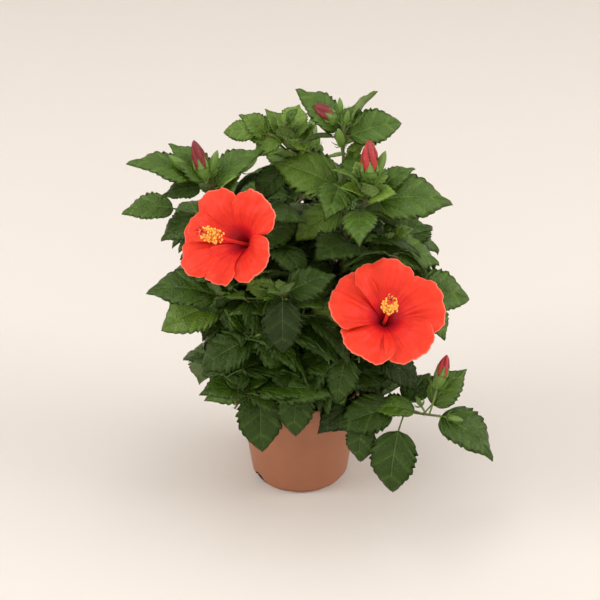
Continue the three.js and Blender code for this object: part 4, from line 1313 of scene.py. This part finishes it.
def make_foliage():
    shoots = grow_shoots()
    leaves = grow_leaves(shoots)
    fine = grow_fine_twigs(shoots, leaves)
    grow_tufts(shoots, leaves)
    blades = leaf_materials()
    twig_looks = [
        mottled("twig_bark", (74, 80, 38), (100, 100, 54), (0.5, 0.7), 220, 0.4),
        surface("petiole_green", (80, 102, 36), 0.5, bump_scale=700, bump=0.25),
        surface("petiole_blush", (98, 78, 42), 0.5, bump_scale=700, bump=0.25),
    ]
    bud_looks = [
        surface("bud_stalk", (104, 128, 58), 0.5, bump_scale=700, bump=0.25),
        surface("bud_calyx", (96, 128, 48), 0.5, bump_scale=700, bump=0.3),
        surface("bud_red", (172, 38, 40), 0.45, bump_scale=500, bump=0.5),
        surface("bud_red_deep", (122, 26, 32), 0.45, bump_scale=500, bump=0.5),
        # Painted shade in the furrows between the furled petals.
        surface("bud_furrow_painted_shade", (96, 18, 26), 0.5),
    ]
    draws = Draws(FOLIAGE_SEED)
    for name, mass in MASSES.items():
        suffix = name.replace("foliage_", "")
        blade_mesh = Mesh()
        twig_mesh = Mesh()
        shoot = shoots[name]
        limb_tube(twig_mesh, shoot, 26, 10)
        for owner, twig in fine:
            if owner == name:
                limb_tube(twig_mesh, twig, 10, 7, GREEN_PETIOLE)
        for leaf in leaves:
            if leaf["mass"] == name:
                blade(blade_mesh, leaf, draws)
                petiole(twig_mesh, leaf, GREEN_PETIOLE if draws.next() > BLUSHED_SHARE else BLUSHED_PETIOLE)
                stipules(twig_mesh, leaf, GREEN_PETIOLE, draws)
        blade_mesh.make("leaves_" + suffix, blades, "foliage", name)
        twig_mesh.make("twigs_" + suffix, twig_looks, "bark", name)
        if mass["buds"]:
            bud_mesh = Mesh()
            for k, row in enumerate(mass["buds"]):
                bud(bud_mesh, shoot, row, mass["ripe"] if k == 0 else None, draws)
            bud_mesh.make("buds_" + suffix, bud_looks, "foliage", name)
    print("leaves", len(leaves), "fine twigs", len(fine))


# Stem and boughs in bark.

def bark_relief(draws):
    """A factor on a limb's radius: long ridges, rings at old leaf scars and fine grain. Each limb
    takes six draws from the stream."""
    phases = [draws.next() * FULL_TURN for _ in range(6)]

    def relief(share, angles):
        ridges = 0.035 * np.sin(5 * angles + 9 * share + phases[0])
        ridges = ridges + 0.03 * np.sin(9 * angles - 14 * share + phases[1])
        grain = 0.02 * np.sin(17 * angles + 60 * share + phases[2]) * np.sin(80 * share + phases[3])
        scar, along = np.divmod(share * 7 + phases[4], 1)
        rings = 0.09 * np.exp(-((along - 0.5) / 0.09) ** 2)
        return 1 + ridges + grain + rings * (0.5 + 0.5 * np.sin(angles + 2.4 * scar))

    return relief


def make_limbs():
    bark = mottled("bark", (86, 68, 44), (132, 116, 80), (0.7, 0.9), 160, 0.7, stretch=(1, 1, 0.35))
    draws = Draws(BARK_SEED)
    mesh = Mesh()
    share = np.linspace(0, 1, STEM_STEPS)
    radii = mix(STEM_FOOT_RADIUS, STEM_HEAD_RADIUS, share) + STEM_FLARE * np.clip(1 - 5 * share, 0, 1) ** 2
    tube(mesh, curve_points(STEM["curve"], STEM_STEPS), radii, STEM_SIDES, 0, bark_relief(draws))
    mesh.make("stem_bark", [bark], "bark", "stem")
    for name, limb in LIMBS.items():
        mesh = Mesh()
        limb_tube(mesh, limb, BOUGH_STEPS, BOUGH_SIDES, 0, bark_relief(draws))
        mesh.make(name + "_bark", [bark], "bark", name)


# Soil: a crumbly surface over the fill.

def value_noise(x, y, seed):
    """An even, repeatable wander of about -1 to 1."""
    total = np.zeros_like(x)
    for k in range(6):
        turn = seed + 1.9 * k
        scale = 0.12 * 1.75 ** k
        total += np.sin(scale * (x * math.cos(turn) + y * math.sin(turn)) + 2.1 * k + seed) / (1 + 0.6 * k)
    return total / 2.2


def make_soil():
    band_foot = POT_HEIGHT - POT_RIM_BAND
    wall_share = (SOIL_TOP - 4 - POT_FLOOR - 2) / (band_foot - 4 - POT_FLOOR)
    top_radius = mix(POT_FOOT_RADIUS - POT_WALL, POT_WALL_TOP_RADIUS - POT_WALL + 0.4, wall_share) - GAP - 0.4
    foot = POT_FLOOR + GAP
    rings = [level_ring(POT_FOOT_RADIUS - POT_WALL - 3.5, foot, SOIL_SIDES)]
    for k in range(SOIL_RINGS):
        radius = top_radius * (1 - (k / SOIL_RINGS) ** 0.9)
        fall = -4 * smooth(top_radius - SOIL_EDGE, top_radius, radius)
        x, y, _ = level_ring(radius, 0, SOIL_SIDES).T
        crumbs = 0.8 * value_noise(x, y, 3.1) + 0.35 * value_noise(x * 4, y * 4, 5.3)
        rings.append(level_ring(radius, SOIL_TOP - 0.9 + fall + crumbs, SOIL_SIDES))
    mesh = Mesh()
    closed_rings(mesh, rings, (0, 0, foot), (0, 0, SOIL_TOP - 0.6))
    draws = Draws(SOIL_SEED)
    for _ in range(CRUMB_COUNT):
        radius = (top_radius - 4) * math.sqrt(draws.next())
        turn = draws.next() * FULL_TURN
        size = draws.between(0.5, 1.0) ** 2 * 2.2
        fall = 3 * smooth(top_radius - SOIL_EDGE, top_radius, radius)
        centre = vec(radius * math.cos(turn), radius * math.sin(turn), SOIL_TOP - 0.6 - fall)
        way = vec(draws.spread(1), draws.spread(1), draws.spread(0.5)) + 0.01
        reach = size * draws.between(0.7, 1.5)
        ball(mesh, centre, size * 0.6, reach, way, int(draws.next() > DARK_CRUMBS))
    looks = [
        mottled("soil_dark", (30, 22, 17), (58, 42, 30), (0.85, 1.0), 500, 0.9, depth=0.001),
        mottled("soil_crumb", (52, 36, 25), (92, 66, 44), (0.8, 1.0), 700, 0.8),
    ]
    mesh.make("soil_fill", looks, "soil", "soil")


# Pot.

def rounded(profile, segments):
    """A profile whose corners that carry a radius are turned into arcs."""
    points = []
    for k, (r, z, fillet) in enumerate(profile):
        here = vec(r, z)
        if not fillet:
            points.append(here)
            continue
        neighbours = [vec(*profile[j][:2]) for j in (k - 1, k + 1)]
        start, end = [here + unit(other - here) * fillet for other in neighbours]
        points += list(curve_points((start, here, end), segments))
    return np.array(points)


def wall_rows(low, high, heights):
    """Plain rows of a profile on the straight line between two of its corners."""
    return [(mix(low[0], high[0], (z - low[1]) / (high[1] - low[1])), z, 0) for z in heights]


def make_pot():
    band_foot = POT_HEIGHT - POT_RIM_BAND
    inner_foot_radius = POT_FOOT_RADIUS - POT_WALL
    outer_foot = (POT_WALL_FOOT_RADIUS, POT_FOOT_HEIGHT + 1.2, 0.7)
    outer_top = (POT_WALL_TOP_RADIUS, band_foot - 1, 0.9)
    inner_foot = (POT_WALL_FOOT_RADIUS - POT_WALL, POT_FOOT_HEIGHT + 3, 0.5)
    inner_top = (POT_WALL_TOP_RADIUS - POT_WALL + 0.4, band_foot - 2, 1.0)
    profile = [
        (0, 0, 0), (POT_FOOT_RADIUS, 0, 1.0), (POT_FOOT_RADIUS, POT_FOOT_HEIGHT, 0.6), outer_foot,
        *wall_rows(outer_foot, outer_top, WALL_ROWS),
        outer_top, (POT_RIM_RADIUS, band_foot, 0.9), (POT_RIM_RADIUS, POT_HEIGHT, 1.3),
        (POT_RIM_RADIUS - 2.2, POT_HEIGHT - 0.4, 0.7), inner_top,
        *wall_rows(inner_foot, inner_top, WALL_ROWS[::-1]),
        inner_foot, (inner_foot_radius, POT_FOOT_HEIGHT + 1.6, 0.4),
        (inner_foot_radius - 0.8, POT_FLOOR, 0.8), (0, POT_FLOOR, 0),
    ]
    mesh = Mesh()
    rings = [level_ring(r, z, POT_SIDES) for r, z in rounded(profile, 5)[1:-1]]
    closed_rings(mesh, rings, (0, 0, 0), (0, 0, POT_FLOOR))
    plastic = mottled("pot_plastic", (150, 93, 63), (154, 97, 66), (0.4, 0.5), 60, 0.1, depth=0.0003)
    cut_arches(mesh.make("pot_shell", [plastic], "pot", "pot"))


def arch_outline(width, height):
    """An arch from just below the ground: upright sides up to its springing, then a flat round head."""
    half = width / 2
    spring = height * 0.4
    head = [
        (half * math.cos(a), height * (0.4 + 0.6 * math.sin(a))) for a in np.linspace(0.15, math.pi - 0.15, 9)
    ]
    return [(-half, -2), (half, -2), (half, spring), *head, (-half, spring)]


def cut_arches(pot):
    """Drainage arches in the foot of the wall, cut with one joined cutter. Two of them are taller, and
    the faces their cut leaves are painted dark, painted shade in the recess."""
    mesh = Mesh()
    for number in range(ARCH_COUNT):
        tall = number % TALL_ARCH_EVERY == 0
        arch = TALL_ARCH if tall else ARCH
        outline = arch_outline(arch["width"], arch["height"])
        count = len(outline)
        turn = math.radians(ARCH_FIRST_HEADING + 360 / ARCH_COUNT * number)
        out = vec(math.cos(turn), math.sin(turn), 0)
        side = vec(-math.sin(turn), math.cos(turn), 0)
        inner = [out * arch["inner_radius"] + side * x + vec(0, 0, z) for x, z in outline]
        outer = [p + out * ARCH_DEPTH for p in inner]
        caps = [[0, j + 1, j] for j in range(1, count - 1)]
        caps += [[count, count + j, count + j + 1] for j in range(1, count - 1)]
        mesh.add(inner + outer, np.concatenate([grid_faces(2, count), caps]), int(tall))
    data = bpy.data.meshes.new("arch_cutter")
    points = np.concatenate(mesh.points) * MM
    data.from_pydata(points.tolist(), [], np.concatenate(mesh.faces).tolist())
    data.materials.append(pot.data.materials[0])
    # Painted shade: the cut faces of the tall arches take this dark brown.
    data.materials.append(surface("arch_painted_shade", (34, 26, 20), 0.95))
    data.polygons.foreach_set("material_index", np.concatenate(mesh.looks).astype(np.int32))
    cutter = new_object("arch_cutter", data)
    cut = pot.modifiers.new("arches", "BOOLEAN")
    cut.operation = "DIFFERENCE"
    cut.solver = "EXACT"
    cut.material_mode = "TRANSFER"
    cut.object = cutter
    result = bpy.data.meshes.new_from_object(pot.evaluated_get(bpy.context.evaluated_depsgraph_get()))
    pot.modifiers.clear()
    pot.data = result
    bpy.data.objects.remove(cutter)


# The stage: a pale floor that turns up into a backdrop, soft light and the camera.

CAMERA_PLACE_MM = (0, -1221, 871)
CAMERA_PITCH = 28.8
CAMERA_LENS = 84.6
SENSOR_WIDTH = 36
STAGE_GAP = 0.3
FLOOR_RADIUS = 3200
WALL_BEND = 1200
WALL_TOP = 5200
STAGE_SIDES = 96
AIM = (0, 0, 0.22)
# Place, target, size and power of each light.
LIGHTS = {
    "key_left": ((-2.9, -0.9, 2.1), AIM, (2.0, 2.0), 64),
    "key_right": ((3.0, -0.5, 1.9), AIM, (2.0, 2.0), 58),
    "top": ((0, 0.3, 3.6), (0, 0.3, 0), (2.4, 2.4), 36),
    "front": ((0.2, -3.1, 1.2), AIM, (3.0, 1.8), 22),
}
LIGHT_COLOUR = (255, 254, 252)
SKY_COLOUR = (255, 252, 249)
SKY_STRENGTH = 0.64


def make_stage():
    """A pale floor that rises all round into a wall, so that any view has it behind the plant."""
    profile = [(FLOOR_RADIUS * 0.5, 0), (FLOOR_RADIUS, 0)]
    profile += [
        (FLOOR_RADIUS + WALL_BEND * math.sin(a), WALL_BEND - WALL_BEND * math.cos(a))
        for a in np.linspace(0, math.pi / 2, 20)[1:]
    ]
    profile += [(FLOOR_RADIUS + WALL_BEND, WALL_TOP)]
    rings = [level_ring(radius, height - STAGE_GAP, STAGE_SIDES) for radius, height in profile]
    points = np.concatenate([[(0, 0, -STAGE_GAP)], *rings]) * MM
    faces = [(0, 1 + k, 1 + (k + 1) % STAGE_SIDES) for k in range(STAGE_SIDES)]
    for ring in range(len(rings) - 1):
        low = 1 + ring * STAGE_SIDES
        high = low + STAGE_SIDES
        for k in range(STAGE_SIDES):
            turned = (k + 1) % STAGE_SIDES
            faces.append((low + k, high + k, high + turned, low + turned))
    data = bpy.data.meshes.new("backdrop")
    data.from_pydata(points.tolist(), [], faces)
    data.polygons.foreach_set("use_smooth", np.ones(len(faces), bool))
    data.materials.append(surface("backdrop_paper", (222, 216, 210), 0.85, specular=0.2))
    backdrop = new_object("backdrop", data)


def make_lights():
    for name, (place, target, size, power) in LIGHTS.items():
        light = bpy.data.lights.new(name, "AREA")
        light.shape = "RECTANGLE"
        light.size, light.size_y = size
        light.energy = power
        light.color = linear(LIGHT_COLOUR)[:3]
        lamp = new_object(name, light)
        lamp.location = place
        lamp.rotation_euler = (Vector(target) - Vector(place)).to_track_quat("-Z", "Y").to_euler()
        lamp.visible_camera = False
    world = bpy.data.worlds.new("studio")
    world.use_nodes = True
    world.node_tree.nodes["Background"].inputs["Color"].default_value = linear(SKY_COLOUR)
    world.node_tree.nodes["Background"].inputs["Strength"].default_value = SKY_STRENGTH
    bpy.context.scene.world = world


def make_camera():
    data = bpy.data.cameras.new("camera")
    data.lens = CAMERA_LENS
    data.sensor_width = SENSOR_WIDTH
    camera = new_object("camera", data)
    camera.location = [c * MM for c in CAMERA_PLACE_MM]
    camera.rotation_euler = (math.radians(90 - CAMERA_PITCH), 0, 0)
    bpy.context.scene.camera = camera
    bpy.context.scene.view_settings.view_transform = "Standard"


make_camera()
make_lights()
make_stage()
make_pot()
make_soil()
make_limbs()
make_foliage()
make_blooms()
